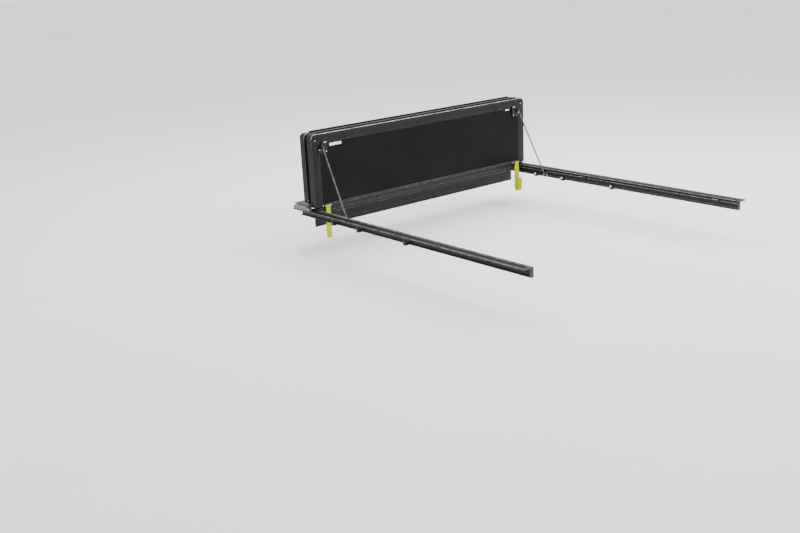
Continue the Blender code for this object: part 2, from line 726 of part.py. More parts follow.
# ---- prop rods ----------------------------------------------------------------------------------------
def add_prop_rod(panel, side, word):
    """A corner bracket, a knuckle that swivels on it, the rod, and the clip it is stowed in."""
    x, y, z = side * ROD_TOP.x, ROD_TOP.y, ROD_TOP.z
    face = FRONT_UNDER_Y - GAP
    inner, outer = ROD_TOP.x - BRACKET_INNER, ROD_TOP.x + BRACKET_OUTER
    low, high = z - BRACKET_HALF_HEIGHT, z + BRACKET_HALF_HEIGHT
    outline = [
        (inner, low + BRACKET_CORNER[1]),
        (inner + BRACKET_CORNER[0], low),
        (outer, low),
        (outer, low + BRACKET_SIDE_EDGE),
        (inner + BRACKET_TOP_EDGE, high),
        (inner, high),
    ]
    mesh = plate([mirrored(outline, side)], BRACKET_THICKNESS, along_y(face - BRACKET_THICKNESS))
    panel.add("rod_bracket_" + word, mesh, "dark_steel")

    swivel = Body("rod_swivel_" + word, (x, y, z), panel)
    base_y = face - BRACKET_THICKNESS - GAP
    base = rod_between((x, base_y - KNUCKLE_BASE, z), (x, base_y, z), KNUCKLE_BASE_RADIUS, 20)
    knuckle = swivel.add("rod_knuckle_" + word, base, "dark_steel")
    inside = ROD_EYE_HALF + EAR_GAP
    ears = []
    for ear in (-1, 1):
        x0, x1 = sorted((x + ear * inside, x + ear * (inside + EAR_THICKNESS)))
        reach = y - KNUCKLE_BASE_RADIUS / 2
        height = KNUCKLE_BASE_RADIUS / 2
        ears.append(block((x0, reach, z - height), (x1, base_y - KNUCKLE_BASE / 2, z + height)))
    combine(knuckle, joined(*ears), "UNION", "ears")
    pin_reach = inside + EAR_THICKNESS / 2
    pin = rod_between((x - pin_reach, y, z), (x + pin_reach, y, z), ROD_PIN_RADIUS, 12)
    combine(knuckle, pin, "UNION", "pin")

    tilt = Body("rod_tilt_" + word, (x, y, z), swivel)
    foot = Vector((side * ROD_FOOT.x, ROD_FOOT.y, ROD_FOOT.z))
    top = Vector((x, y, z))
    down = (foot - top).normalized()
    shaft = rod_between(top + down * ROD_SHAFT_START, foot - down * ROD_FOOT_RADIUS / 2, ROD_RADIUS, 14)
    rod = tilt.add("prop_rod_" + word, shaft, "steel")
    neck = rod_between(top + down * ROD_NECK_START, top + down * ROD_NECK_END, ROD_NECK_RADIUS, 12)
    combine(rod, neck, "UNION", "neck")
    eye = rod_between((x - ROD_EYE_HALF, y, z), (x + ROD_EYE_HALF, y, z), ROD_EYE_RADIUS, 20)
    combine(rod, eye, "UNION", "eye")
    sideways = Vector((ROD_FOOT_HALF, 0, 0))
    pad = rod_between(foot - sideways, foot + sideways, ROD_FOOT_RADIUS, 20)
    combine(rod, pad, "UNION", "foot")
    reach = ROD_EYE_HALF + EDGE_GAP
    hole = rod_between((x - reach, y, z), (x + reach, y, z), ROD_PIN_RADIUS + ROD_PIN_CLEARANCE, 12)
    combine(rod, hole, "DIFFERENCE", "eye_bore")
    add_rod_clip(panel, side, word)


def add_rod_clip(panel, side, word):
    """A hook on the top bar that the stowed rod comes up against."""
    climb = math.tan(math.radians(ROD_STOW_ANGLE - 90))
    z = ROD_TOP.z + (ROD_TOP.x - CLIP_X) * climb
    face = FRONT_UNDER_Y - GAP
    t = BRACKET_THICKNESS
    arm = z + ROD_RADIUS + EAR_GAP + CLIP_WIDTH * climb / 2
    outline = [
        (face, arm - t),
        (face - t, arm - t),
        (face - t, arm),
        (ROD_TOP.y - ROD_RADIUS - t, arm),
        (ROD_TOP.y - ROD_RADIUS - t, arm + t),
        (face, arm + t),
    ]
    start = side * CLIP_X - CLIP_WIDTH / 2
    panel.add("rod_clip_" + word, plate([outline], CLIP_WIDTH, along_x(start)), "black_plastic")


# ---- pull straps --------------------------------------------------------------------------------------
def add_pull_strap(panel, side, word):
    """A metal loop on the front panel's lower bar, and the webbing that hangs from it."""
    centre = side * STRAP_X
    bar_y = FRONT_UNDER_Y - LOOP_STAND_OFF
    inner = STRAP_WIDTH / 2 + LOOP_CLEARANCE
    outer = inner + LOOP_BAR
    front, back = bar_y - LOOP_BAR / 2, FRONT_UNDER_Y - GAP
    outlines = [
        rectangle(centre - outer, front, centre + outer, back),
        rectangle(centre - inner, front + LOOP_BAR, centre + inner, back - LOOP_BAR),
    ]
    loop = plate(outlines, LOOP_HEIGHT, along_z(STRAP_Z - LOOP_HEIGHT / 2))
    panel.add("strap_loop_" + word, loop, "steel")
    strap = Body("strap_" + word, (centre, bar_y, STRAP_Z), panel)
    top = STRAP_Z - LOOP_HEIGHT / 2 - STRAP_TOP_GAP
    low = (centre - STRAP_WIDTH / 2, bar_y - STRAP_THICKNESS / 2, top - STRAP_LENGTH)
    high = (centre + STRAP_WIDTH / 2, bar_y + STRAP_THICKNESS / 2, top)
    strap.add("pull_strap_" + word, block(low, high), "webbing")


def shade_round_pieces():
    for part in PARTS.objects:
        if part.type == "MESH":
            part.data.shade_smooth()
            part.data.set_sharp_from_angle(angle=math.radians(35))


clear_scene()
PARTS = new_collection("tonneau_cover")
CUTTERS = new_collection("cutters")

fixed_frame = add_fixed_frame()
front_panel = add_front_panel(fixed_frame)
second_panel = add_second_panel(front_panel)
third_panel = add_third_panel(second_panel)
rear_panel = add_rear_panel(third_panel)
add_latches(second_panel, "middle", SECOND_UNDER_Y, MIDDLE_LATCH_Z)
add_latches(rear_panel, "rear", REAR_UNDER_Y, REAR_LATCH_Z)
for hand_side, hand_word in ((-1, "left"), (1, "right")):
    add_prop_rod(front_panel, hand_side, hand_word)
    add_pull_strap(front_panel, hand_side, hand_word)
shade_round_pieces()
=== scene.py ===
"""Looks for a hard folding tonneau cover, folded and propped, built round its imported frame.

Metres, +X to the truck's right, +Y towards the cab, +Z up. Each operator makes one group of pieces. New
pieces are grids of points worked out with numpy: a profile carried along a straight run, round a rounded
rectangle or along a smooth line, or a turned shape.
"""

import json
from functools import partial

import bmesh
import bpy
import numpy as np
from bpy.props import FloatProperty, FloatVectorProperty, IntProperty, PointerProperty
from mathutils import Matrix, Vector

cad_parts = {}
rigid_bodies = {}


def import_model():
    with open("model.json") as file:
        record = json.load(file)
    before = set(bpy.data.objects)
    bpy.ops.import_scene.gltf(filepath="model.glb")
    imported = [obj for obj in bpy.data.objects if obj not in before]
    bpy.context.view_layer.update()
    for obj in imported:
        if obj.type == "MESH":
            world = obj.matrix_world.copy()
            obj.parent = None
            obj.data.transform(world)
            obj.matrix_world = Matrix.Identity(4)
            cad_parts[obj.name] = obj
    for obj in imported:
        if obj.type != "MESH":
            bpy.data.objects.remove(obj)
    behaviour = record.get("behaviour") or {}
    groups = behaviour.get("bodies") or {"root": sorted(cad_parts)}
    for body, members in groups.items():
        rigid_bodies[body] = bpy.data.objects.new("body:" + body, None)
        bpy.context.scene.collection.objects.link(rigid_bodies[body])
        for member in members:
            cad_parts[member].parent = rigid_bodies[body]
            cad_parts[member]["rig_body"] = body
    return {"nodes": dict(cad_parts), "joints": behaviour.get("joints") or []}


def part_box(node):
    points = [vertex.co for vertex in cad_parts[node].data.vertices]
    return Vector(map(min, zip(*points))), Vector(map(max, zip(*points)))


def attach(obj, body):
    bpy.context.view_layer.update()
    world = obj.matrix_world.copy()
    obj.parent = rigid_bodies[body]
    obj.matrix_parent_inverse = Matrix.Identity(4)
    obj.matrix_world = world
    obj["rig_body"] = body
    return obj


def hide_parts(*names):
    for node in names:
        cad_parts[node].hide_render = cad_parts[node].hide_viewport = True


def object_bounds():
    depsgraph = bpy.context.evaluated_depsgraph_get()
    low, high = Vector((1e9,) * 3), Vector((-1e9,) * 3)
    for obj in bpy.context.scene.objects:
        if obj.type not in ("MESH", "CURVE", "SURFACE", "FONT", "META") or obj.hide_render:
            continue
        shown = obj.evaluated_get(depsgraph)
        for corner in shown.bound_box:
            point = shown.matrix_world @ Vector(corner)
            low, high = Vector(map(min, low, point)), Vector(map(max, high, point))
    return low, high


bl_info = {
    "name": "Folding tonneau cover",
    "version": (1, 0, 0),
    "blender": (4, 5, 0),
    "location": "3D View > Sidebar > Tonneau",
    "description": "Extruded, moulded, woven and plated pieces of a hard folding truck bed cover",
    "category": "Add Mesh",
}

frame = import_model()
CAD_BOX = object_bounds()
JOINTS = {joint["name"]: joint for joint in frame["joints"]}
SIDES = ((-1, "left"), (1, "right"))
MM = 0.001

# the panels, with the way that each underside faces along Y
PANELS = (("front", -1), ("second", 1), ("third", -1), ("rear", 1))
THICKNESS = 20 * MM
BOARD_RECESS = 3 * MM
PLAY = 0.3 * MM


def pivot(joint):
    return np.array(JOINTS[joint]["pos_m"])


def corners(node):
    low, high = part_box(node)
    return np.array(low), np.array(high)


# ---- colour and shader nodes --------------------------------------------------------------------------
def linear(code):
    """An sRGB hex colour as linear red, green and blue."""
    srgb = np.array([int(code[i : i + 2], 16) / 255 for i in (1, 3, 5)])
    return tuple(np.where(srgb <= 0.04045, srgb / 12.92, ((srgb + 0.055) / 1.055) ** 2.4).tolist())


def node(tree, kind, sockets=None, output=0, **settings):
    """Adds a shader node with its settings, links or sets its sockets, and gives back one of its outputs."""
    made = tree.nodes.new("ShaderNode" + kind)
    for name, value in settings.items():
        setattr(made, name, value)
    for name, value in (sockets or {}).items():
        if isinstance(value, bpy.types.NodeSocket):
            tree.links.new(value, made.inputs[name])
        else:
            flat = isinstance(value, tuple) and made.inputs[name].type == "RGBA"
            made.inputs[name].default_value = (*value[:3], 1.0) if flat else value
    return made.outputs[output] if made.outputs else made


def start_finish(name):
    """A new material, the function that adds its nodes, and the object coordinates."""
    made = bpy.data.materials.new(name)
    made.use_nodes = True
    made.node_tree.nodes.clear()
    add = partial(node, made.node_tree)
    return made, add, add("TexCoord", output="Object")


def end_finish(made, add, sockets):
    add("OutputMaterial", {"Surface": add("BsdfPrincipled", sockets)})
    return made


# the colour inputs and output of a Mix node
A, B, MIXED = 6, 7, 2


# ---- sizes and colours that a user would change -------------------------------------------------------
def length(name, description, default):
    return FloatProperty(name=name, description=description, default=default, unit="LENGTH", precision=5)


def paint(name, description, code):
    return FloatVectorProperty(
        name=name, description=description, default=linear(code), subtype="COLOR", min=0, max=1
    )


class TonneauSizes(bpy.types.PropertyGroup):
    """Fine sizes that the frame leaves to the looks."""

    edge_round: length("Edge rounding", "Radius of the panel frames' outer edges", 2.4 * MM)
    groove_set: length("Groove inset", "From a panel's outer edge to its underside groove", 9 * MM)
    groove_width: length("Groove width", "Width of the groove in the panel frames", 4 * MM)
    groove_depth: length("Groove depth", "Depth of the groove in the panel frames", 2.6 * MM)
    bead_width: length("Bead width", "Width of the inner bead that holds the board", 6.5 * MM)
    rib_count: IntProperty(name="Rail ribs", description="Ribs on each rail's inner edge", default=2, min=1)
    rib_pitch: length("Rib pitch", "Distance between the rail's ribs", 10 * MM)
    webbing_thickness: length("Webbing thickness", "Thickness of the pull straps' webbing", 1.5 * MM)
    screw_radius: length("Screw head radius", "Radius of the pan-head screws", 4 * MM)


class TonneauColours(bpy.types.PropertyGroup):
    """Main colours of the finishes."""

    powder_coat: paint("Powder coat", "Satin black coat on the panel frames", "#0D0E0F")
    extrusion: paint("Rail coat", "Black coat on the rails and the header", "#0E0F10")
    board: paint("Underside board", "Grained polypropylene under each panel", "#060707")
    skin: paint("Top skin", "Textured coat on the sheets on top", "#121314")
    webbing: paint("Webbing", "Hi-vis polyester webbing", "#CAD400")
    zinc: paint("Zinc", "Zinc plate on pins, bolts and rings", "#A9ADB0")
    rod: paint("Rods", "Dull grey plate on the prop rods", "#686C6E")
    black_zinc: paint("Black zinc", "Passivated steel brackets and clamps", "#222426")
    nylon: paint("Nylon", "Glass-filled nylon handles and housings", "#0E0F10")
    rubber: paint("Rubber", "EPDM seals", "#0A0A0A")
    cast: paint("Cast aluminium", "Bare header brackets", "#7B7E80")


def sizes():
    return bpy.context.scene.tonneau_sizes


def colours():
    return bpy.context.scene.tonneau_colours


# ---- finishes -----------------------------------------------------------------------------------------
def clouded(add, place, size, span, base, other, most=1.0, **noise):
    """One colour drifting into another with noise: the blend runs from nothing to its most over the span.

    Gives back the colour, the noise and the blend.
    """
    raw = add("TexNoise", {"Vector": place, "Scale": 1 / size, **noise})
    blend = add("MapRange", {"Value": raw, "From Min": span[0], "From Max": span[1], "To Max": most})
    return add("Mix", {"Factor": blend, A: base, B: other}, MIXED, data_type="RGBA"), raw, blend


def relief(add, place, size, depth, strength, **noise):
    """A normal pushed in and out by fine noise."""
    height = add("TexNoise", {"Vector": place, "Scale": 1 / size, **noise})
    return add("Bump", {"Height": height, "Distance": depth, "Strength": strength})


def between(value, low, high, start=0.3, end=0.7):
    """Settings that carry a value from start to end over to low to high."""
    return {"Value": value, "From Min": start, "From Max": end, "To Min": low, "To Max": high}


def dusted(add, place, coat, amount):
    """A coat's colour with pale dust settled on the faces that look up, broken into patches 60 mm across."""
    up = add("SeparateXYZ", {"Vector": add("NewGeometry", output="Normal")}, "Z")
    level = add("MapRange", {"Value": up, "From Min": 0.35, "From Max": 0.95, "To Max": amount})
    drifts = add("TexNoise", {"Vector": place, "Scale": 1 / (60 * MM), "Detail": 4.0})
    drifts = add("MapRange", {"Value": drifts, "From Min": 0.3, "From Max": 0.75})
    factor = add("Math", {0: level, 1: drifts}, operation="MULTIPLY")
    return add("Mix", {"Factor": factor, A: coat, B: linear("#6E6E6C")}, MIXED, data_type="RGBA")


def rubbed_and_highlit(add, coat, patches, amount, bare_and_highlight):
    """A coat's colour turned towards a paler one along the rounded edges, where patches let it: partly wear,
    partly a painted highlight where the edges catch light.
    """
    wear = between(patches, 0.2, amount, 0.4, 0.62)
    # the edge value makes rounded edges paler: partly wear, partly a painted highlight
    edge = add("Attribute", output="Fac", attribute_name="edge")
    factor = add("Math", {0: add("MapRange", wear), 1: edge}, operation="MULTIPLY")
    return add("Mix", {"Factor": factor, A: coat, B: bare_and_highlight}, MIXED, data_type="RGBA")


def powder_coated_aluminium():
    """Extruded aluminium under satin black polyester powder: an even orange peel, greyer at the edges, partly
    from handling wear and partly as a painted highlight.
    """
    made, add, place = start_finish("powder_coated_aluminium")
    base = tuple(colours().powder_coat)
    coat = clouded(add, place, 110 * MM, (0.35, 0.7), base, linear("#131415"), Detail=4.0)[0]
    patches = add("TexNoise", {"Vector": place, "Scale": 1 / (14 * MM), "Detail": 5.0})
    # the edges turn towards pale grey: partly handling wear, partly a painted highlight
    coat = dusted(add, place, rubbed_and_highlit(add, coat, patches, 0.6, linear("#606366")), 0.2)
    gloss = add("TexNoise", {"Vector": place, "Scale": 1 / (45 * MM)})
    gloss = add("MapRange", between(gloss, 0.32, 0.46))
    # orange peel is about 0.5 mm across; 1.2 mm here, so that it shows
    peel = relief(add, place, 1.2 * MM, 0.05 * MM, 0.7)
    looks = {"Base Color": coat, "Roughness": gloss, "IOR": 1.5, "Specular IOR Level": 0.2, "Normal": peel}
    return end_finish(made, add, looks)


def coated_extrusion(name, along):
    """Rail and header extrusions under a thin black coat: die lines run along; edges and crests turn pale,
    partly rubbed bare and partly as a painted highlight.
    """
    made, add, place = start_finish(name)
    stretch = add("Mapping", {"Vector": place, "Scale": along})
    # die lines: 0.8 mm across and 200 mm long
    lines = add("TexNoise", {"Vector": stretch, "Scale": 1 / (0.8 * MM), "Detail": 4.0, "Roughness": 0.6})
    streaks = add("MapRange", {"Value": lines, "From Min": 0.3, "From Max": 0.9, "To Max": 0.8})
    base = {"Factor": streaks, A: tuple(colours().extrusion), B: linear("#17191A")}
    coat = add("Mix", base, MIXED, data_type="RGBA")
    scuffs = add("TexNoise", {"Vector": place, "Scale": 1 / (25 * MM), "Detail": 6.0, "Roughness": 0.65})
    # edges and crests turn towards pale grey: partly wear, partly a painted highlight
    coat = dusted(add, place, rubbed_and_highlit(add, coat, scuffs, 1.0, linear("#9B9FA2")), 0.09)
    gloss = add("MapRange", between(scuffs, 0.3, 0.46))
    grain = add("Bump", {"Height": lines, "Distance": 0.03 * MM, "Strength": 0.6})
    looks = {"Base Color": coat, "Roughness": gloss, "IOR": 1.5, "Specular IOR Level": 0.2, "Normal": grain}
    return end_finish(made, add, looks)


def grained_polypropylene():
    """Matt black polypropylene with a pebble grain pressed in: a soft haze and long, faint scuffs."""
    made, add, place = start_finish("grained_polypropylene")
    base = tuple(colours().board)
    face = clouded(add, place, 260 * MM, (0.35, 0.7), base, linear("#0D0E0E"), Detail=5.0)[0]
    # scuffs run across the panel, 90 mm by 13 mm
    sweep = add("Mapping", {"Vector": place, "Scale": (1.0, 1.0, 7.0)})
    marks = (90 * MM, (0.56, 0.74), face, linear("#232322"), 0.3)
    face, scuffs, _ = clouded(add, sweep, *marks, Detail=8.0, Roughness=0.7)
    # the pebbles are 0.9 mm across; 2.2 mm here, so that the grain shows
    grain = {"Vector": place, "Scale": 1 / (2.2 * MM), "Smoothness": 0.6}
    pebbles = add("TexVoronoi", grain, feature="SMOOTH_F1")
    valleys = add("MapRange", {"Value": pebbles, "From Max": 0.5, "To Min": 0.3, "To Max": 0.0})
    face = add("Mix", {"Factor": valleys, A: face, B: linear("#171818")}, MIXED, data_type="RGBA")
    gloss = add("MapRange", between(scuffs, 0.42, 0.58, end=0.75))
    bumps = add("Bump", {"Height": pebbles, "Distance": 0.12 * MM, "Strength": 0.5})
    looks = {"Base Color": face, "Roughness": gloss, "IOR": 1.49, "Specular IOR Level": 0.1, "Normal": bumps}
    return end_finish(made, add, looks)


def textured_sheet():
    """Aluminium sheet under a coarse wrinkle coat, the cover's weather side."""
    made, add, place = start_finish("textured_sheet")
    base = tuple(colours().skin)
    coat, _, haze = clouded(add, place, 180 * MM, (0.35, 0.7), base, linear("#1A1C1D"), Detail=5.0)
    crests = (1.6 * MM, (0.45, 0.7), coat, linear("#2A2C2D"), 0.4)
    coat, wrinkle, _ = clouded(add, place, *crests, Detail=4.0, Roughness=0.7)
    gloss = add("MapRange", between(haze, 0.44, 0.56, 0, 1))
    bumps = add("Bump", {"Height": wrinkle, "Distance": 0.12 * MM, "Strength": 0.8})
    looks = {"Base Color": dusted(add, place, coat, 0.16), "Roughness": gloss, "IOR": 1.5, "Normal": bumps}
    return end_finish(made, add, looks)


def woven_webbing():
    """Hi-vis polyester webbing: a herringbone of slanting ribs over the strap's own length and width."""
    made, add, place = start_finish("woven_webbing")
    along = add("Attribute", output="Fac", attribute_name="along")
    across = add("Attribute", output="Fac", attribute_name="across")
    # the slant turns back every 7.5 mm of width, and the ribs are 2.4 mm apart
    turn = add("Math", {0: across, 1: 7.5 * MM}, operation="PINGPONG")
    slant = add("Math", {0: along, 1: turn}, operation="ADD")
    waves = []
    for place_on, spacing in ((slant, 2.4 * MM), (across, 1.5 * MM)):
        wave = add("Math", {0: place_on, 1: 2 * np.pi / spacing}, operation="MULTIPLY")
        waves.append(add("Math", {0: wave}, operation="SINE"))
    weave = add("Math", {0: waves[1], 1: 0.4, 2: waves[0]}, operation="MULTIPLY_ADD")
    high = add("MapRange", {"Value": weave, "From Min": -1.2, "From Max": 0.9})
    threads = {"Factor": high, A: linear("#8C9800"), B: tuple(colours().webbing)}
    threads = add("Mix", threads, MIXED, data_type="RGBA")
    grime = (30 * MM, (0.52, 0.8), threads, linear("#7F8B0C"), 0.35)
    threads = clouded(add, place, *grime, Detail=6.0)[0]
    ridges = add("Bump", {"Height": weave, "Distance": 0.3 * MM, "Strength": 0.7})
    looks = {"Base Color": threads, "Roughness": 0.7, "Specular IOR Level": 0.25, "Normal": ridges}
    return end_finish(made, add, looks)


def brushed_trim():
    """Bare aluminium trim, brushed along its length: bright, with fine streaks across the panel."""
    made, add, place = start_finish("brushed_trim")
    # brush marks: 0.5 mm apart and 25 mm long
    stretch = add("Mapping", {"Vector": place, "Scale": (0.02, 1.0, 1.0)})
    brush = add("TexNoise", {"Vector": stretch, "Scale": 1 / (0.5 * MM), "Detail": 4.0})
    dull = (70 * MM, (0.4, 0.65), linear("#AEB2B4"), linear("#6A6E71"))
    metal = clouded(add, place, *dull, Detail=4.0)[0]
    marks = add("Bump", {"Height": brush, "Distance": 0.02 * MM, "Strength": 0.6})
    gloss = add("MapRange", between(brush, 0.28, 0.44))
    looks = {"Base Color": metal, "Metallic": 1.0, "Roughness": gloss, "Normal": marks}
    return end_finish(made, add, looks)


def wire_rope():
    """Galvanised steel rope: grey strands, darker in the grooves between them."""
    made, add, place = start_finish("wire_rope")
    strand = add("Attribute", output="Fac", attribute_name="edge")
    metal = {"Factor": strand, A: linear("#1B1C1D"), B: linear("#9B9EA0")}
    metal = add("Mix", metal, MIXED, data_type="RGBA")
    gloss = add("TexNoise", {"Vector": place, "Scale": 1 / (8 * MM)})
    gloss = add("MapRange", between(gloss, 0.3, 0.45))
    return end_finish(made, add, {"Base Color": metal, "Metallic": 1.0, "Roughness": gloss})


# Finishes of one clouded coat. Sizes are in mm, and each row gives:
# - the two colours, the first by its name in the list of colours or by its own code
# - the cloud's size, span and most, then its detail and roughness
# - the range of the finish's roughness, which follows the noise or the blend
# - the relief's size, depth and strength, then its detail and roughness
# - how much dust lies on it, and the shader's own settings
CLOUDED_COATS = {
    # drawn or pressed steel under plate: fine marks, and a cloud where the plate has dulled
    "zinc_plated_steel": (
        "zinc", "#7E8285", (12, (0.4, 0.7), 1), (5, 0.5), ("noise", 0.26, 0.44),
        (0.6, 0.02, 0.6), (2, 0.5), 0, {"Metallic": 1.0}),
    "dull_plated_rod": (
        "rod", "#3F4244", (12, (0.4, 0.7), 1), (5, 0.5), ("noise", 0.3, 0.48),
        (0.6, 0.02, 0.6), (2, 0.5), 0, {"Metallic": 1.0}),
    # pressed steel in black passivated zinc, worn to grey in specks
    "black_zinc_steel": (
        "black_zinc", "#6A6D70", (3, (0.56, 0.7), 0.7), (6, 0.7), ("noise", 0.34, 0.52),
        (0.8, 0.03, 0.6), (2, 0.5), 0, {"Metallic": 0.7}),
    # injection-moulded black nylon: a spark-eroded surface with a faint flow haze
    "glass_filled_nylon": (
        "nylon", "#1B1D1E", (22, (0.35, 0.7), 1), (4, 0.5), ("blend", 0.4, 0.54),
        (0.7, 0.05, 0.8), (2, 0.5), 0.2, {"IOR": 1.53}),
    # extruded rubber: matt, with a chalky bloom in patches
    "epdm_rubber": (
        "rubber", "#1C1C1C", (35, (0.45, 0.75), 1), (5, 0.5), ("blend", 0.66, 0.82),
        (0.9, 0.05, 0.7), (2, 0.5), 0.08, {"Specular IOR Level": 0.3}),
    # die-cast brackets, tumbled and left bare: a soft grey with shallow pits
    "cast_aluminium": (
        "cast", "#5C5F61", (10, (0.4, 0.7), 1), (5, 0.5), ("noise", 0.34, 0.5),
        (1.1, 0.06, 0.8), (4, 0.7), 0, {"Metallic": 1.0}),
    # cold-headed stainless screws: bright, with a little dirt round the heads
    "stainless_screw": (
        "#F0F1F2", "#8C8E90", (2.5, (0.55, 0.75), 0.5), (4, 0.5), ("blend", 0.22, 0.6),
        None, None, 0, {"Metallic": 1.0}),
    # a blank white vinyl label with a slightly soiled face
    "vinyl_label": (
        "#F2F2F0", "#BDBCB6", (9, (0.45, 0.75), 0.35), (5, 0.5), ("blend", 0.3, 0.7),
        None, None, 0, {"IOR": 1.5}),
    # a rolled white floor paint, very slightly uneven over half a metre
    "painted_floor": (
        "#F6F6F5", "#F9F9F8", (600, (0.3, 0.7), 1), (3, 0.5), ("blend", 0.9, 0.9),
        None, None, 0, {"Specular IOR Level": 0.2}),
}


def clouded_coat(name):
    """A finish whose colour and roughness drift together with one cloud of noise, over a finer relief."""
    base, other, cloud, (detail, rough), (source, low, high), bumps, fine, dust, looks = CLOUDED_COATS[name]
    made, add, place = start_finish(name)
    base = linear(base) if base.startswith("#") else tuple(getattr(colours(), base))
    size, span, most = cloud
    noise = {"Detail": detail, "Roughness": rough}
    colour, raw, blend = clouded(add, place, size * MM, span, base, linear(other), most, **noise)
    follows = between(raw, low, high) if source == "noise" else between(blend, low, high, 0, 1)
    gloss = add("MapRange", follows)
    looks = {"Base Color": dusted(add, place, colour, dust) if dust else colour, "Roughness": gloss, **looks}
    if bumps:
        size, depth, strength = bumps
        detail, rough = fine
        looks["Normal"] = relief(add, place, size * MM, depth * MM, strength, Detail=detail, Roughness=rough)
    return end_finish(made, add, looks)


FINISHES = {
    "coat": (powder_coated_aluminium, "black_aluminium"),
    "rail": (partial(coated_extrusion, "coated_rail", (1.0, 0.004, 1.0)), "black_aluminium"),
    "header": (partial(coated_extrusion, "coated_header", (0.004, 1.0, 1.0)), "black_aluminium"),
    "trim": (brushed_trim, "bare_aluminium"),
    "board": (grained_polypropylene, "under_board"),
    "skin": (textured_sheet, "top_skin"),
    "webbing": (woven_webbing, "webbing"),
    "zinc": (partial(clouded_coat, "zinc_plated_steel"), "steel"),
    "rod": (partial(clouded_coat, "dull_plated_rod"), "steel"),
    "black_zinc": (partial(clouded_coat, "black_zinc_steel"), "dark_steel"),
    "nylon": (partial(clouded_coat, "glass_filled_nylon"), "black_plastic"),
    "rubber": (partial(clouded_coat, "epdm_rubber"), "rubber"),
    "cast": (partial(clouded_coat, "cast_aluminium"), "bare_aluminium"),
    "screw": (partial(clouded_coat, "stainless_screw"), "steel"),
    "label": (partial(clouded_coat, "vinyl_label"), "black_plastic"),
    "rope": (wire_rope, "dark_steel"),
}
made_finishes = {}


def finish(name):
    """A finish's material, made once."""
    if name not in made_finishes:
        made_finishes[name] = FINISHES[name][0]()
    return made_finishes[name]


# ---- surfaces -----------------------------------------------------------------------------------------
def unit(vectors):
    return vectors / np.linalg.norm(vectors, axis=-1, keepdims=True)


def full_turn(count):
    """Angles evenly round a circle."""
    return np.linspace(0, 2 * np.pi, count, endpoint=False)


def circle_across(way, count):
    """Points of a unit circle that stands square to a line, round its own two directions across the line."""
    spare = np.array((0.0, 0.0, 1.0)) if abs(unit(way)[2]) < 0.9 else np.array((1.0, 0.0, 0.0))
    first = unit(np.cross(way, spare))
    second = unit(np.cross(way, first))
    angle = full_turn(count)[:, None]
    return first * np.cos(angle) + second * np.sin(angle)


def rounded(outline, radii, steps=4):
    """An outline whose corners are arcs, and how far each point is round its arc.

    Each arc's centre is on the corner's bisector at radius / sin(half angle), and the arc turns at an even
    rate between its two points of contact. The second result is sin(pi t) over each arc, 0 on the flats.
    """
    points = np.array(outline, float)
    radius = np.maximum(np.broadcast_to(radii, len(points)).astype(float), 1e-6)
    back, ahead = unit(np.roll(points, 1, 0) - points), unit(np.roll(points, -1, 0) - points)
    half = np.arccos(np.clip((back * ahead).sum(1), -1, 1)) / 2
    reach = (radius / np.tan(half))[:, None]
    centre = points + unit(back + ahead) * (radius / np.sin(half))[:, None]
    swing = (np.pi - 2 * half)[:, None]
    t = np.linspace(0, 1, steps + 1)[None]
    first = (np.sin((1 - t) * swing) / np.sin(swing))[..., None]
    last = (np.sin(t * swing) / np.sin(swing))[..., None]
    arcs = centre[:, None] + (points + back * reach - centre)[:, None] * first
    arcs = arcs + (points + ahead * reach - centre)[:, None] * last
    edge = np.where(radius[:, None] > 1e-5, np.sin(np.pi * t), 0.0)
    flat, edge = arcs.reshape(-1, 2), edge.reshape(-1)
    keep = np.linalg.norm(flat - np.roll(flat, 1, 0), axis=1) > 2e-6
    return flat[keep], edge[keep]


class Shape:
    """Grids of points gathered into one mesh, with edge, along and across values for the finishes."""

    def __init__(self):
        self.points, self.faces, self.values, self.count = [], [], [], 0

    def add(self, grid, closed_path=False, edge=None, along=None, across=None):
        """A grid of rows along a path and columns round a closed profile."""
        rows, columns = grid.shape[:2]
        index = self.count + np.arange(rows * columns).reshape(rows, columns)
        start = index if closed_path else index[:-1]
        end = np.roll(index, -1, 0) if closed_path else index[1:]
        quads = np.stack([start, np.roll(start, -1, 1), np.roll(end, -1, 1), end], -1).reshape(-1, 4)
        self.faces += quads.tolist()
        if not closed_path:
            self.faces += [index[0].tolist(), index[-1][::-1].tolist()]
        values = np.zeros((rows, columns, 3))
        for column, value in enumerate((edge, along, across)):
            if value is not None:
                values[..., column] = value
        self.points.append(grid.reshape(-1, 3))
        self.values.append(values.reshape(-1, 3))
        self.count += rows * columns
        return self

    def piece(self, name, body, finish_name, replaces=(), sharp=32.0):
        """The gathered mesh as a piece that rides on a body."""
        mesh = bpy.data.meshes.new(name)
        mesh.from_pydata(np.concatenate(self.points).tolist(), [], self.faces)
        values = np.concatenate(self.values).astype(np.float32)
        for column, word in enumerate(("edge", "along", "across")):
            mesh.attributes.new(word, "FLOAT", "POINT").data.foreach_set("value", values[:, column])
        return placed(mesh, name, body, finish_name, replaces, sharp)


def placed(mesh, name, body, finish_name, replaces, sharp):
    """A mesh with its faces pointing out, shaded, finished and riding on its body."""
    shape = bmesh.new()
    shape.from_mesh(mesh)
    bmesh.ops.recalc_face_normals(shape, faces=shape.faces)
    shape.to_mesh(mesh)
    shape.free()
    mesh.shade_smooth()
    mesh.set_sharp_from_angle(angle=np.radians(sharp))
    mesh.materials.append(finish(finish_name))
    made = bpy.data.objects.new(name, mesh)
    bpy.context.scene.collection.objects.link(made)
    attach(made, body)
    if replaces:
        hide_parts(*replaces)
    return made


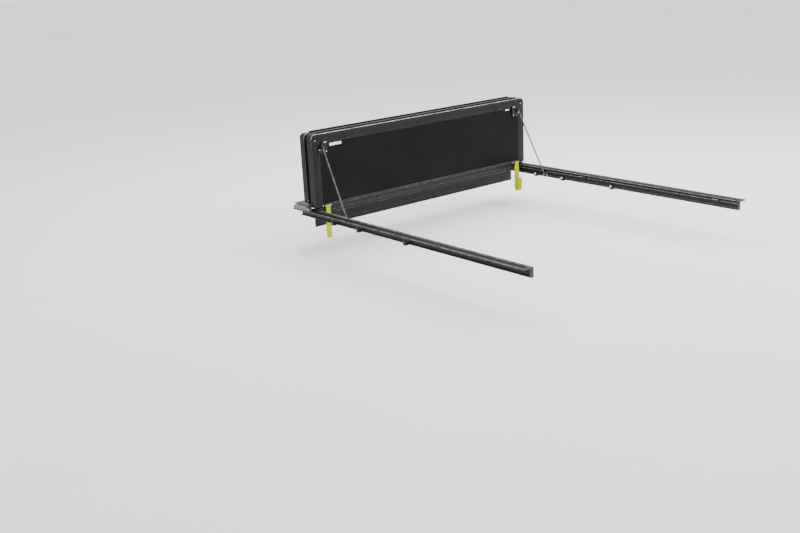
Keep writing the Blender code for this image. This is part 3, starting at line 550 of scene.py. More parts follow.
def softened(cad_node, name, finish_name, width, segments=3):
    """A CAD node's own shape, merged to clean faces and with its edges rounded by a live bevel."""
    source = frame["nodes"][cad_node]
    shape = bmesh.new()
    shape.from_mesh(source.data)
    bmesh.ops.remove_doubles(shape, verts=shape.verts, dist=1e-6)
    flat = np.radians(2.0)
    bmesh.ops.dissolve_limit(shape, angle_limit=flat, verts=shape.verts, edges=shape.edges)
    mesh = bpy.data.meshes.new(name)
    shape.to_mesh(mesh)
    shape.free()
    mesh.materials.clear()
    made = placed(mesh, name, source["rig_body"], finish_name, (cad_node,), 32.0)
    edges = made.modifiers.new("rounded_edges", "BEVEL")
    edges.width = width
    edges.segments = segments
    edges.limit_method = "ANGLE"
    edges.angle_limit = np.radians(40)
    edges.harden_normals = True
    return made


def run_along(axis, profile, start, end, edge=None, shape=None, stations=2):
    """A profile carried straight along X, Y or Z; its two columns are the other two axes in order."""
    grid = np.empty((stations, len(profile), 3))
    others = [k for k in range(3) if k != axis]
    grid[..., axis] = np.linspace(start, end, stations)[:, None]
    grid[..., others[0]], grid[..., others[1]] = profile[:, 0], profile[:, 1]
    return (shape or Shape()).add(grid, edge=edge)


def rounded_run(axis, outline, radii, start, end, shape=None, steps=4):
    """An outline with rounded corners, carried along X, Y or Z."""
    profile, edge = rounded(outline, radii, steps)
    return run_along(axis, profile, start, end, edge, shape)


def turned(start, end, stations, sides=28, shape=None):
    """A turned shape: at each station (share of the way, radius) a circle stands square to the line."""
    start, end = np.array(start, float), np.array(end, float)
    way = end - start
    share, radius = np.array(stations, float).T
    grid = start + way * share[:, None, None] + circle_across(way, sides) * radius[:, None, None]
    return (shape or Shape()).add(grid)


def pan_head(centre, normal, radius, shape, height_share=0.62):
    """A pan-head screw: circles rise over the dome, then hexagons go down into the socket.

    Over an angle a, the hexagon's radius is cos(30) / cos(a - the nearest flat's middle).
    """
    normal = unit(np.array(normal, float))
    sixth = np.pi / 3
    hexagon = np.cos(sixth / 2) / np.cos((full_turn(24) % sixth) - sixth / 2)
    # each ring's height and reach, as shares, and whether it is a hexagon
    rings = ((0, 1, 0), (0.35, 1, 0), (0.7, 0.93, 0), (0.92, 0.78, 0))
    rings += ((1, 0.6, 0), (1, 0.5, 1), (0.4, 0.5, 1))
    height, reach, socket = (column[:, None] for column in np.array(rings, float).T)
    reach = reach * np.where(socket > 0, hexagon, 1.0) * radius
    rise = normal * (height * radius * height_share)[..., None]
    return shape.add(np.array(centre) + rise + circle_across(normal, 24) * reach[..., None])


def smooth_line(points, samples):
    """A Catmull-Rom line through given points: each stretch is the usual cubic of its four neighbours."""
    held = np.array(points, float)
    held = np.vstack([2 * held[0] - held[1], held, 2 * held[-1] - held[-2]])
    place = np.linspace(0, len(points) - 1, samples)
    k = np.minimum(place.astype(int), len(points) - 2)
    t = (place - k)[:, None]
    a, b, c, d = held[k], held[k + 1], held[k + 2], held[k + 3]
    return 0.5 * (2 * b + (c - a) * t + (2 * a - 5 * b + 4 * c - d) * t**2 + (3 * b - a - 3 * c + d) * t**3)


# ---- panel frames, boards and skins -------------------------------------------------------------------
def bar_profile(bar):
    """Section (inset, depth from the underside) of a frame's bar, with its groove, bead and side channel."""
    s = sizes()
    groove, width, depth = s.groove_set, s.groove_width, s.groove_depth
    bead, t = s.bead_width, THICKNESS
    outline = ((0, 0), (groove, 0), (groove, depth), (groove + width, depth), (groove + width, 0),
               (bar - bead - 1.5 * MM, 0), (bar - bead, 1.5 * MM), (bar, 1.5 * MM), (bar, t), (0, t),
               (0, 0.66 * t), (1.8 * MM, 0.6 * t), (1.8 * MM, 0.4 * t), (0, 0.34 * t))
    fine = 0.5 * MM
    radii = [s.edge_round, fine, fine / 2, fine / 2, fine, fine, fine, 0.8 * MM, fine, s.edge_round]
    return rounded(outline, radii + [fine] * 4)


def panel_place(word, facing):
    """A panel's half width, bar width, opening, underside and top planes, from its board."""
    low, high = corners(word + "_panel_board")
    half = corners(word + "_panel_frame")[1][0]
    bar = half - high[0] - PLAY
    under = (high[1] if facing > 0 else low[1]) + facing * BOARD_RECESS
    return half, bar, low[2] - PLAY, high[2] + PLAY, under, under - facing * THICKNESS


CORNER_RADIUS = 25 * MM
# the corners in the order that a section is carried round them: side, way up and the arc's first half turn
TURNS = ((1, -1, -0.5), (1, 1, 0.0), (-1, 1, 0.5), (-1, -1, 1.0))


def around(section, half, low, high, radius=CORNER_RADIUS, arc=8):
    """Rows of a section (inset, y) round each corner of a rectangle, from the bottom right one.

    The inset shrinks both the rectangle and its corners' radius.
    """
    inset = section[:, 0]
    r = np.maximum(radius - inset, 0.6 * MM)
    runs = []
    for side, up, start in TURNS:
        angle = start * np.pi + np.linspace(0, np.pi / 2, arc + 1)[:, None]
        x = side * (half - inset - r) + r * np.cos(angle)
        z = (high if up > 0 else low) - up * (inset + r) + r * np.sin(angle)
        runs.append(np.stack([x, np.broadcast_to(section[:, 1], x.shape), z], -1))
    return runs


def over_the_top(runs, foot):
    """Rows from the foot on the right, round the two top corners and down to the foot on the left."""
    ends = [rows * (1, 1, 0) + (0, 0, foot) for rows in (runs[1][:1], runs[2][-1:])]
    return np.concatenate([ends[0], runs[1], runs[2], ends[1]])


def frame_bars(word, facing, foot=None):
    """A panel frame's section carried round its rounded rectangle, or with a foot only over the top."""
    half, bar, low, high, under, _ = panel_place(word, facing)
    profile, edge = bar_profile(bar)
    section = np.stack([profile[:, 0], under - facing * profile[:, 1]], -1)
    runs = around(section, half, low - bar, high + bar)
    if foot is None:
        return Shape().add(np.concatenate(runs), closed_path=True, edge=edge)
    return Shape().add(over_the_top(runs, foot), edge=edge)


KNUCKLE_RADIUS = 3.5 * MM
KNUCKLE_COUNT = 9
LEAF = 2.8 * MM


def knuckle_section(centre, heading, reach, low, high, sides=18):
    """A knuckle and its leaf round (y, z): the barrel is an arc from one edge of the leaf to the other."""
    first, last = np.arcsin(high / KNUCKLE_RADIUS), 2 * np.pi + np.arcsin(low / KNUCKLE_RADIUS)
    angle = np.linspace(first, last, sides)
    barrel = np.stack([np.cos(angle), np.sin(angle)], -1) * KNUCKLE_RADIUS
    local = np.vstack([[(reach, low), (reach, high)], barrel])
    c, s = np.cos(heading), np.sin(heading)
    return np.array(centre) + local @ np.array([[c, s], [-s, c]])


def barrels(shape, section, half, first, gap=0.35 * MM):
    """Every second knuckle of a hinge, from knuckle first."""
    width = 2 * half / KNUCKLE_COUNT
    for k in range(first, KNUCKLE_COUNT, 2):
        start = -half + k * width
        run_along(0, section, start + gap, start + width - gap, shape=shape)


def top_leaves(shape, joint, side, up, first, half):
    """Knuckles on a panel's top face; their leaf runs up or down the panel from the fold."""
    centre = pivot(joint)[1:]
    left = -side * up
    near, far = KNUCKLE_RADIUS - LEAF, KNUCKLE_RADIUS - 0.1 * MM
    low, high = (near, far) if left > 0 else (-far, -near)
    section = knuckle_section(centre, up * np.pi / 2, 9 * MM, low, high)
    barrels(shape, section, half, first)


def standing_leaves(shape, side, first, half):
    """Knuckles of the middle fold, on legs that reach from the middle of the gap to a panel's underside."""
    centre = pivot("middle_fold")[1:]
    under = panel_place("second", 1)[4] if side < 0 else panel_place("third", -1)[4]
    leg = np.array((under - centre[0] + side * 4 * MM, 13 * MM))
    heading = np.arctan2(leg[1], leg[0])
    section = knuckle_section(centre, heading, np.hypot(*leg), -LEAF / 2, LEAF / 2)
    barrels(shape, section, half, first)


def hinge_half():
    """Half the length that the knuckles share, a little short of the pins."""
    return abs(corners("header_hinge_pin")[0][0]) - 2 * MM


def bay_half():
    """Half the width between the rails, less the room that the header and the lap keep."""
    return abs(corners("side_rail_right")[0][0]) - 6 * MM


class TONNEAU_OT_panel_frames(bpy.types.Operator):
    """Coated aluminium frames of the four panels, with their hinge knuckles"""

    bl_idname = "tonneau.panel_frames"
    bl_label = "Panel frames"

    def execute(self, context):
        half = hinge_half()
        for word, facing in PANELS[1:]:
            bars = frame_bars(word, facing)
            bars.piece(word + "_frame_bars", word + "_panel", "coat", (word + "_panel_frame",))
        notch = pivot("header_hinge")[2] - 3 * MM
        front = frame_bars("front", -1, notch)
        front.piece("front_frame_bars", "front_panel", "coat", ("front_panel_frame",))
        self.lap(corners("front_panel_frame")[0][2], notch)
        leaves = (
            ("front", (("header_hinge", -1, 1, 1), ("front_fold", -1, -1, 0)), None),
            ("second", (("front_fold", 1, -1, 1),), (-1, 0)),
            ("third", (("rear_fold", -1, -1, 0),), (1, 1)),
            ("rear", (("rear_fold", 1, -1, 1),), None),
        )
        for word, tops, standing in leaves:
            shape = Shape()
            for joint, side, up, first in tops:
                top_leaves(shape, joint, side, up, first, half)
            if standing:
                standing_leaves(shape, *standing, half)
            shape.piece(word + "_hinge_knuckles", word + "_panel", "header")
        return {"FINISHED"}

    def lap(self, low, notch):
        """The front panel's bottom bar: a sill between the side bars and a thinner, grooved lap below it."""
        half, bar, sill, _, under, top = panel_place("front", -1)
        thin, step, foot = top - 5.5 * MM, pivot("header_hinge")[2] + 5 * MM, notch + 0.2 * MM
        groove = under + 1.4 * MM
        outline = ((under, foot), (under, sill - 5 * MM), (groove, sill - 3.6 * MM), (groove, sill),
                   (top, sill), (top, step), (thin, step), (thin, foot))
        shape = rounded_run(0, outline, 0.5 * MM, bar - half, half - bar)
        middle = (low + notch) / 2
        outline = ((under, low), (thin, low), (thin, notch), (under, notch), (under, middle + 5 * MM),
                   (groove, middle + 4 * MM), (groove, middle - 4 * MM), (under, middle - 5 * MM))
        radii = np.array((1.2, 1.2, 0.6, 0.6, 0.5, 0.5, 0.5, 0.5)) * MM
        rounded_run(0, outline, radii, -bay_half(), bay_half(), shape)
        shape.piece("front_lap_bar", "front_panel", "header")


class TONNEAU_OT_highlight_trims(bpy.types.Operator):
    """Bright trim in the outer edge of the panels, a painted highlight: across the front one's top, round the
    others' corners
    """

    bl_idname = "tonneau.edge_trims"
    bl_label = "Highlight trims"

    def execute(self, context):
        angle = full_turn(14)
        r = 0.72 * sizes().edge_round
        for word, facing in PANELS:
            half, bar, low, high, under, _ = panel_place(word, facing)
            section = np.stack([r + r * np.cos(angle), under - facing * (r + r * np.sin(angle))], -1)
            runs = around(section, half, low - bar, high + bar)
            shape = Shape()
            # the bright trim is a painted highlight where the rounded edge catches light: along the front
            # panel's top, and at the other panels' corners
            for run in [np.concatenate(runs[1:3])] if word == "front" else runs[1:] + runs[:1]:
                shape.add(run)
            shape.piece(word + "_edge_trim", word + "_panel", "trim")
        return {"FINISHED"}


class TONNEAU_OT_panel_boards(bpy.types.Operator):
    """Underside boards and top sheets of the four panels"""

    bl_idname = "tonneau.panel_boards"
    bl_label = "Boards and sheets"

    def execute(self, context):
        for word, facing in PANELS:
            softened(word + "_panel_board", word + "_underside_board", "board", 1.2 * MM)
            softened(word + "_panel_skin", word + "_top_sheet", "skin", 0.6 * MM)
            self.gasket(word, facing)
            self.groove_cord(word, facing)
        return {"FINISHED"}

    def groove_cord(self, word, facing):
        """Black rubber pressed into the frame's groove, a little below its lips."""
        s = sizes()
        half, bar, low, high, under, _ = panel_place(word, facing)
        play = 0.15 * MM
        start, end = s.groove_set + play, s.groove_set + s.groove_width - play
        outline = rectangle(start, 0.7 * MM, end, s.groove_depth)
        section = rounded(outline, 0.5 * MM)[0] * (1, -facing) + (0, under)
        runs = around(section, half, low - bar, high + bar)
        if word == "front":
            shape = Shape().add(over_the_top(runs, pivot("header_hinge")[2] - 2 * MM))
        else:
            shape = Shape().add(np.concatenate(runs), closed_path=True)
        shape.piece(word + "_groove_cord", word + "_panel", "rubber")

    def gasket(self, word, facing):
        """A black cord of rubber pressed round the board, its section carried round the opening."""
        half, bar, low, high, under, _ = panel_place(word, facing)
        angle = full_turn(12)
        radius = 1.1 * MM
        depth = under - facing * (BOARD_RECESS - radius * 0.4)
        section = np.stack([1.6 * MM + radius * np.cos(angle), depth + radius * np.sin(angle)], -1)
        runs = around(section, half - bar, low, high, 3 * MM, 5)
        shape = Shape().add(np.concatenate(runs), closed_path=True)
        shape.piece(word + "_board_gasket", word + "_panel", "rubber")


# ---- rails, header and seals --------------------------------------------------------------------------
class TONNEAU_OT_rails(bpy.types.Operator):
    """Ribbed side rails with their seals and end caps"""

    bl_idname = "tonneau.rails"
    bl_label = "Side rails"

    def execute(self, context):
        s = sizes()
        for side, word in SIDES:
            low, high = corners("side_rail_" + word)
            inner, outer = min(abs(low[0]), abs(high[0])), max(abs(low[0]), abs(high[0]))
            outline, radii = self.section(inner, outer, low[2], s)
            profile, edge = rounded(np.array(outline) * (side, 1), radii, 3)
            # the ribs' crests, the upper bead and the beads on the web are given full edge wear, so they are
            # painted pale as painted highlights along the rail
            highlit_beads = (np.abs(profile[:, 0]) < inner - 0.7 * MM) & (profile[:, 1] > -20 * MM)
            crests = highlit_beads | (profile[:, 1] > 5.6 * MM)
            edge = np.where(crests, 1.0, edge)
            cap = 9 * MM
            rail = run_along(1, profile, low[1] + cap, high[1], edge)
            rail.piece(f"ribbed_rail_{word}", "fixed_frame", "rail", ("side_rail_" + word,))
            self.end_cap(word, side, inner, outer, low, cap)
            self.seal(word)
        return {"FINISHED"}

    def section(self, inner, outer, bottom, s):
        """Outline (x, z) of the right rail: ribs and an outer lip on the ledge, beaded web, foot."""
        top, rib = 4 * MM, 6 * MM
        points, radii = [], []
        for k in range(s.rib_count):
            x = inner + k * s.rib_pitch
            crest, foot = x + 0.26 * s.rib_pitch, x + 0.34 * s.rib_pitch
            points += [(x, rib), (crest, rib), (foot, top), (x + 0.92 * s.rib_pitch, top)]
            radii += [0.4 * MM, 0.3 * MM, 0.2 * MM, 0.2 * MM]
        del points[-1], radii[-1]
        lip = 3 * MM
        web, foot = 4 * MM, 16 * MM
        crest = top + 2.4 * MM
        points += [(outer - lip - 0.6 * MM, top), (outer - lip, crest), (outer, crest), (outer, 0)]
        points += [(inner + web, 0), (inner + web, bottom + web), (inner + foot, bottom + web)]
        points += [(inner + foot, bottom), (inner, bottom)]
        for z in (6, 11, 33):
            points += [(inner, bottom + z * MM), (inner - 0.9 * MM, bottom + (z + 0.9) * MM)]
            points += [(inner - 0.9 * MM, bottom + (z + 1.9) * MM), (inner, bottom + (z + 2.8) * MM)]
        radii += [0.4 * MM, 0.8 * MM, 1.2 * MM, 0.6 * MM, 1.5 * MM, 1 * MM, 0.8 * MM, 0.8 * MM, 1 * MM]
        radii += [0.3 * MM] * 12
        return points, radii

    def end_cap(self, word, side, inner, outer, low, cap):
        """A moulded cap over the rail's rear end: two rounded plates, over the ledge and over the web."""
        shape = Shape()
        ledge = rectangle(inner, 0, outer, 6.4 * MM)
        web = rectangle(inner, low[2], inner + 16 * MM, 0)
        for outline, radius in ((ledge, 1.6 * MM), (web, 2.4 * MM)):
            outline = np.array(outline) * (side, 1)
            rounded_run(1, outline, radius, low[1], low[1] + cap - 0.3 * MM, shape)
        shape.piece("rail_end_cap_" + word, "fixed_frame", "nylon")

    def seal(self, word):
        """Sponge seal with two soft ridges: height is a base plus the size of a sine over the width."""
        low, high = corners("rail_seal_" + word)
        width, height = high[0] - low[0], high[2] - low[2]
        t = np.linspace(0, 1, 21)
        ridges = low[2] + height * (0.35 + 0.65 * np.abs(np.sin(2 * np.pi * t)))
        ridges[[0, -1]] = low[2] + 0.3 * MM
        upper = np.stack([low[0] + width * t, ridges], -1)
        profile = np.vstack([upper, [(high[0], low[2]), (low[0], low[2])]])
        run = run_along(1, profile, low[1], high[1])
        run.piece("sponge_seal_" + word, "fixed_frame", "rubber", ("rail_seal_" + word,), 50)


def rectangle(a0, b0, a1, b1):
    return ((a0, b0), (a1, b0), (a1, b1), (a0, b1))


class TONNEAU_OT_header(bpy.types.Operator):
    """Header extrusion with its grooved plate, apron, knuckles and brackets"""

    bl_idname = "tonneau.header"
    bl_label = "Header"

    def execute(self, context):
        low, high = corners("header")
        hinge = pivot("header_hinge")
        rear, top = hinge[1] + 5 * MM, hinge[2] - 0.5 * MM
        front, under = high[1], top - 4 * MM
        plate = [(rear, under), (rear, top)]
        radii = [0.8 * MM, 1.2 * MM]
        groove = top - 1.2 * MM
        for share in np.linspace(0.2, 0.86, 5):
            y = rear + share * (front - rear)
            plate += [(y - 2 * MM, top), (y - 1.2 * MM, groove), (y + 1.2 * MM, groove), (y + 2 * MM, top)]
            radii += [0.4 * MM] * 4
        plate += [(front, top), (front, under)]
        radii += [2.5 * MM, 0.5 * MM]
        shape = rounded_run(0, plate, radii, -high[0], high[0], steps=3)
        t, seat, joint = 4 * MM, 60 * MM, under - 0.2 * MM
        apron, reach = hinge[1] + 53.5 * MM, bay_half()
        angle_bar = ((front - t, joint), (front - t, t), (front - seat, t))
        angle_bar += ((front - seat, 0), (front, 0), (front, joint))
        for outline in (rectangle(apron, low[2], apron + t, joint), angle_bar):
            rounded_run(0, outline, 1 * MM, -reach, reach, shape, 3)
        for z in np.linspace(low[2] + 22 * MM, joint - 26 * MM, 3):
            rib = rectangle(apron - 0.9 * MM, z - 2.5 * MM, apron + 0.2 * MM, z + 2.5 * MM)
            rounded_run(0, rib, 0.4 * MM, 2 * MM - reach, reach - 2 * MM, shape, 2)
        near, far = -KNUCKLE_RADIUS + 0.1 * MM, LEAF - KNUCKLE_RADIUS
        barrels(shape, knuckle_section(hinge[1:], 0.0, 9 * MM, near, far), hinge_half(), 0)
        shape.piece("header_extrusion", "fixed_frame", "header", ("header",))
        for _, word in SIDES:
            softened("header_bracket_" + word, "header_casting_" + word, "cast", 1.6 * MM, 4)
        return {"FINISHED"}


class TONNEAU_OT_edge_seal(bpy.types.Operator):
    """Rubber bulb seal along the rear panel's closing edge"""

    bl_idname = "tonneau.edge_seal"
    bl_label = "Rear edge seal"

    def execute(self, context):
        low, high = corners("rear_edge_seal")
        middle = (low[1] + high[1]) / 2
        reach = (high[1] - low[1]) / 2
        angle = np.linspace(-np.pi, 0, 19)
        bulb = np.stack([middle + reach * np.cos(angle), low[2] + 5 * MM + 5 * MM * np.sin(angle)], -1)
        neck = [(middle + 0.45 * reach, high[2] - 1 * MM), (middle - 0.45 * reach, high[2] - 1 * MM)]
        run = run_along(0, np.vstack([bulb, neck]), low[0], high[0], stations=40)
        run.piece("bulb_seal_rear", "rear_panel", "rubber", ("rear_edge_seal",), 40)
        return {"FINISHED"}


# ---- hardware -----------------------------------------------------------------------------------------
class TONNEAU_OT_hinge_pins(bpy.types.Operator):
    """Steel pins of the four folds, with domed ends"""

    bl_idname = "tonneau.hinge_pins"
    bl_label = "Hinge pins"

    def execute(self, context):
        bodies = {"header_hinge": "fixed_frame", "front_fold": "front_panel"}
        bodies.update({"middle_fold": "second_panel", "rear_fold": "third_panel"})
        r = 1.5 * MM
        for joint, body in bodies.items():
            cad = joint + "_pin"
            low, high = corners(cad)
            place = pivot(joint)
            start, end = ((x, place[1], place[2]) for x in (low[0], high[0]))
            dome = r / (high[0] - low[0])
            nose = [(0, 0.4 * r), (0.4 * dome, 0.85 * r), (dome, r)]
            stations = nose + [(1 - share, radius) for share, radius in reversed(nose)]
            turned(start, end, stations, 16).piece(cad.replace("_pin", "_wire"), body, "zinc", (cad,))
        return {"FINISHED"}


class TONNEAU_OT_clamps(bpy.types.Operator):
    """Rail clamps with their bolts, strikers and rod receivers"""

    bl_idname = "tonneau.clamps"
    bl_label = "Clamps and strikers"

    def execute(self, context):
        screws, washers, pads = Shape(), Shape(), Shape()
        for side, word in SIDES:
            for number in (1, 2, 3):
                node_name = f"rail_clamp_{word}_{number}"
                softened(node_name, f"clamp_hook_{word}_{number}", "black_zinc", 1.2 * MM)
                low, high = corners(node_name)
                face = min(abs(low[0]), abs(high[0]))
                # the bolts are 30 mm below the rail's top plane
                centre = np.array((side * face, (low[1] + high[1]) / 2, -30 * MM))
                inward = np.array((-side, 0, 0))
                head = centre + inward * 1.2 * MM
                turned(centre, head, ((0, 9 * MM), (0.7, 9 * MM), (1, 8.4 * MM)), 28, washers)
                pan_head(head, inward, 7 * MM, screws, 0.4)
            for kind in ("middle", "rear"):
                node_name = f"striker_{kind}_{word}"
                softened(node_name, f"striker_plate_{kind}_{word}", "black_zinc", 0.7 * MM)
                self.wear_pads(side, *corners(node_name), kind, pads)
            self.receiver(side, word, screws)
        screws.piece("rail_screws", "fixed_frame", "screw")
        washers.piece("clamp_washers", "fixed_frame", "black_zinc")
        pads.piece("striker_wear_pads", "fixed_frame", "trim")
        return {"FINISHED"}

    def wear_pads(self, side, low, high, kind, pads):
        """Bright pads on a striker's inner edge, where the bolts ride: two short ones, or one long one."""
        middle, shelf = (low[1] + high[1]) / 2, min(abs(low[0]), abs(high[0]))
        outline = rectangle(shelf - 0.5 * MM, high[2] - 2.7 * MM, shelf + 8 * MM, high[2])
        outline = np.array(outline) * (side, 1)
        spans = ((-22, -6), (6, 22)) if kind == "middle" else ((-17, 17),)
        for start, end in spans:
            rounded_run(1, outline, 0.5 * MM, middle + start * MM, middle + end * MM, pads)

    def receiver(self, side, word, screws):
        """The plate and stud under a prop rod's foot, two screws and a wire clip bent to a V."""
        node_name = "rod_receiver_" + word
        softened(node_name, "rod_stud_plate_" + word, "black_zinc", 0.7 * MM)
        low, high = corners(node_name)
        face = max(abs(low[0]), abs(high[0])) - 3 * MM
        middle = (low[1] + high[1]) / 2
        for shift in (-15 * MM, 15 * MM):
            pan_head((side * face, middle + shift, low[2] + 6 * MM), (-side, 0, 0), 3.2 * MM, screws)
        z = (low[2] + high[2]) / 2
        x = side * (face - 1.2 * MM)
        bends = ((17, 13), (13, 2), (10.5, -8), (8, 1), (6, 11))
        route = [(x, middle - back * MM, z + up * MM) for back, up in bends]
        wire(route, 0.9 * MM, 40).piece("rod_clip_wire_" + word, "fixed_frame", "zinc")


def wire(route, radius, samples, sides=10):
    """A round wire along a smooth line: a circle stands square to the line at every sample."""
    line = smooth_line(route, samples)
    ahead = unit(np.gradient(line, axis=0))
    spare = np.array((1.0, 0.0, 0.0)) if np.abs(ahead[:, 0]).max() < 0.9 else np.array((0.0, 1.0, 0.0))
    first = unit(np.cross(ahead, spare))
    second = np.cross(ahead, first)
    angle = full_turn(sides)[None, :, None]
    grid = line[:, None] + radius * (first[:, None] * np.cos(angle) + second[:, None] * np.sin(angle))
    return Shape().add(grid)


class TONNEAU_OT_prop_rods(bpy.types.Operator):
    """Prop rods with their eyes, feet, knuckles, gusset brackets and stowing clips"""

    bl_idname = "tonneau.prop_rods"
    bl_label = "Prop rods"

    def execute(self, context):
        screws = Shape()
        for side, word in SIDES:
            top = pivot("rod_tilt_" + word)
            low, _ = corners("prop_rod_" + word)
            stud = abs(corners("rod_receiver_" + word)[0 if side > 0 else 1][0]) - 4.5 * MM
            foot = np.array((side * stud, low[1] + 9 * MM, low[2] + 9 * MM))
            self.rod(word, top, foot)
            softened("rod_bracket_" + word, "gusset_" + word, "black_zinc", 0.8 * MM)
            softened("rod_knuckle_" + word, "rod_swivel_eye_" + word, "black_zinc", 0.6 * MM)
            softened("rod_clip_" + word, "stowing_clip_" + word, "nylon", 0.8 * MM)
            face = corners("rod_bracket_" + word)[0][1]
            for x, z in ((-32, 25), (-21, 25), (12, -13), (-32, -25)):
                centre = (top[0] + side * x * MM, face, top[2] + z * MM)
                pan_head(centre, (0, -1, 0), 3.4 * MM, screws)
        screws.piece("gusset_screws", "front_panel", "screw")
        return {"FINISHED"}

    def rod(self, word, top, foot):
        """A drawn rod with a necked eye and a flat foot."""
        reach = np.linalg.norm(foot - top)
        r, neck = 4 * MM, 2.7 * MM
        places = ((6 * MM, neck), (12 * MM, neck), (15 * MM, r), (reach - 13 * MM, r))
        places += ((reach - 8 * MM, 3.2 * MM), (reach - 3 * MM, 2.2 * MM))
        shape = turned(top, foot, [(place / reach, radius) for place, radius in places], 24)
        self.ring(shape, top, 7.5 * MM, 2.9 * MM, 3 * MM)
        flat = np.array((1.9 * MM, 0, 0))
        disc = ((0, 8 * MM), (0.15, 9 * MM), (0.85, 9 * MM), (1, 8 * MM))
        turned(foot - flat, foot + flat, disc, 28, shape)
        shape.piece("drawn_rod_" + word, "rod_" + word, "rod", ("prop_rod_" + word,))

    def ring(self, shape, centre, outer, inner, half):
        """An eye: a rounded rectangular section carried round X."""
        profile, edge = rounded(rectangle(inner, -half, outer, half), 0.7 * MM)
        angle = full_turn(32)[:, None]
        x = np.broadcast_to(profile[:, 1], (32, len(profile)))
        grid = np.stack([x, profile[:, 0] * np.cos(angle), profile[:, 0] * np.sin(angle)], -1)
        shape.add(grid + centre, closed_path=True, edge=edge)


class TONNEAU_OT_panel_trim(bpy.types.Operator):
    """Corner screws, slotted plugs, rivets and blank labels on the panels"""

    bl_idname = "tonneau.panel_trim"
    bl_label = "Panel trim"

    def execute(self, context):
        radius = sizes().screw_radius
        for word, facing in PANELS:
            half, bar, low, high, under, _ = panel_place(word, facing)
            screws = Shape()
            # the screws sit in the corners' centres across the panel, and 9 mm further from its ends
            inset, set_in = CORNER_RADIUS, CORNER_RADIUS + 9 * MM
            for side, _ in SIDES:
                heights = [high + bar - set_in, low - bar + set_in]
                for z in heights[: 1 if word == "front" else 2]:
                    pan_head((side * (half - inset), under, z), (0, facing, 0), 0.75 * radius, screws, 0.4)
            screws.piece(word + "_corner_screws", word + "_panel", "screw")
        self.front_details()
        return {"FINISHED"}

    def front_details(self):
        """Plugs and rivets near the top corners, rivets below the board and two blank labels on it."""
        _, _, low, high, under, _ = panel_place("front", -1)
        plugs, rivets, labels = Shape(), Shape(), Shape()
        out = (0, -1, 0)
        for side, _ in SIDES:
            # middle, height above the board, length and width, in mm
            for x, z, long, wide in ((566, 10, 36, 8), (687, 14, 14, 5)):
                middle, height = side * x * MM, high + z * MM
                outline = np.array(rectangle(-long / 2, -wide / 2, long / 2, wide / 2)) * MM
                outline += (middle, height)
                rounded_run(1, outline, 0.45 * wide * MM, under - 0.9 * MM, under + 0.3 * MM, plugs)
            pan_head((side * 589 * MM, under, high + 11 * MM), out, 2.2 * MM, rivets)
            for x in (522, 540):
                pan_head((side * x * MM, under, low - 6 * MM), out, 2.4 * MM, rivets)
        plugs.piece("drain_plugs", "front_panel", "rubber")
        rivets.piece("front_rivets", "front_panel", "rod")
        board = under + BOARD_RECESS
        for x0, x1, z0, z1 in ((650, 682, -11, -4), (-686, -606, -22, -7)):
            outline = rectangle(x0 * MM, high + z0 * MM, x1 * MM, high + z1 * MM)
            rounded_run(1, outline, 1.5 * MM, board - 0.25 * MM, board + 0.1 * MM, labels)
        labels.piece("blank_labels", "front_panel", "label")


# ---- latches ------------------------------------------------------------------------------------------
class TONNEAU_OT_latches(bpy.types.Operator):
    """Sprung latches: housings, lids, bolts, rope and pull handles"""

    bl_idname = "tonneau.latches"
    bl_label = "Latches"

    def execute(self, context):
        for kind, body in (("middle", "second_panel"), ("rear", "rear_panel")):
            screws, lids = Shape(), Shape()
            for side, word in SIDES:
                housing = f"{kind}_latch_housing_{word}"
                softened(housing, f"{kind}_latch_case_{word}", "nylon", 2.2 * MM, 4)
                low, high = corners(housing)
                middle = (low + high) / 2
                outline = rectangle(low[0] + 5 * MM, low[2] + 5 * MM, high[0] - 5 * MM, high[2] - 5 * MM)
                rounded_run(1, outline, 4 * MM, high[1] - 0.3 * MM, high[1] + 0.9 * MM, lids)
                for way in (-1, 1):
                    centre = (middle[0] + way * 14 * MM, high[1] + 0.8 * MM, middle[2] + way * 8 * MM)
                    pan_head(centre, (0, 1, 0), 2.6 * MM, screws)
                self.bolt(kind, side, word)
            lids.piece(kind + "_latch_lids", body, "black_zinc")
            screws.piece(kind + "_latch_screws", body, "screw")
            self.rope(kind, body)
            softened(kind + "_release_handle", kind + "_pull_loop", "nylon", 1.8 * MM, 4)
        return {"FINISHED"}

    def bolt(self, kind, side, word):
        """A round bolt with a chamfered nose towards the rail."""
        node_name = f"{kind}_latch_bolt_{word}"
        low, high = corners(node_name)
        middle = (low + high) / 2
        start, end = ((x, middle[1], middle[2]) for x in (low[0], high[0])[::side])
        r = 3.5 * MM
        stations = ((0, r * 0.9), (0.02, r), (0.86, r), (0.97, 0.55 * r), (1, 0.4 * r))
        shape = turned(start, end, stations, 24)
        shape.piece(f"{kind}_latch_nose_{word}", f"{kind}_bolt_{word}", "zinc", (node_name,))

    def rope(self, kind, body):
        """Six strands: the radius swells six times round, and the swell turns once in 16 mm of length."""
        node_name = kind + "_release_cable"
        low, high = corners(node_name)
        x = np.linspace(low[0], high[0], 520)[:, None]
        angle = full_turn(18)
        swell = 0.5 + 0.5 * np.cos(6 * (angle + 2 * np.pi * x / (96 * MM)))
        radius = 1.5 * MM * (0.8 + 0.2 * swell)
        y, z = (low[1:] + high[1:]) / 2
        x = np.broadcast_to(x, radius.shape)
        grid = np.stack([x, y + radius * np.cos(angle), z + radius * np.sin(angle)], -1)
        Shape().add(grid, edge=swell).piece(kind + "_wire_rope", body, "rope", (node_name,), 80)


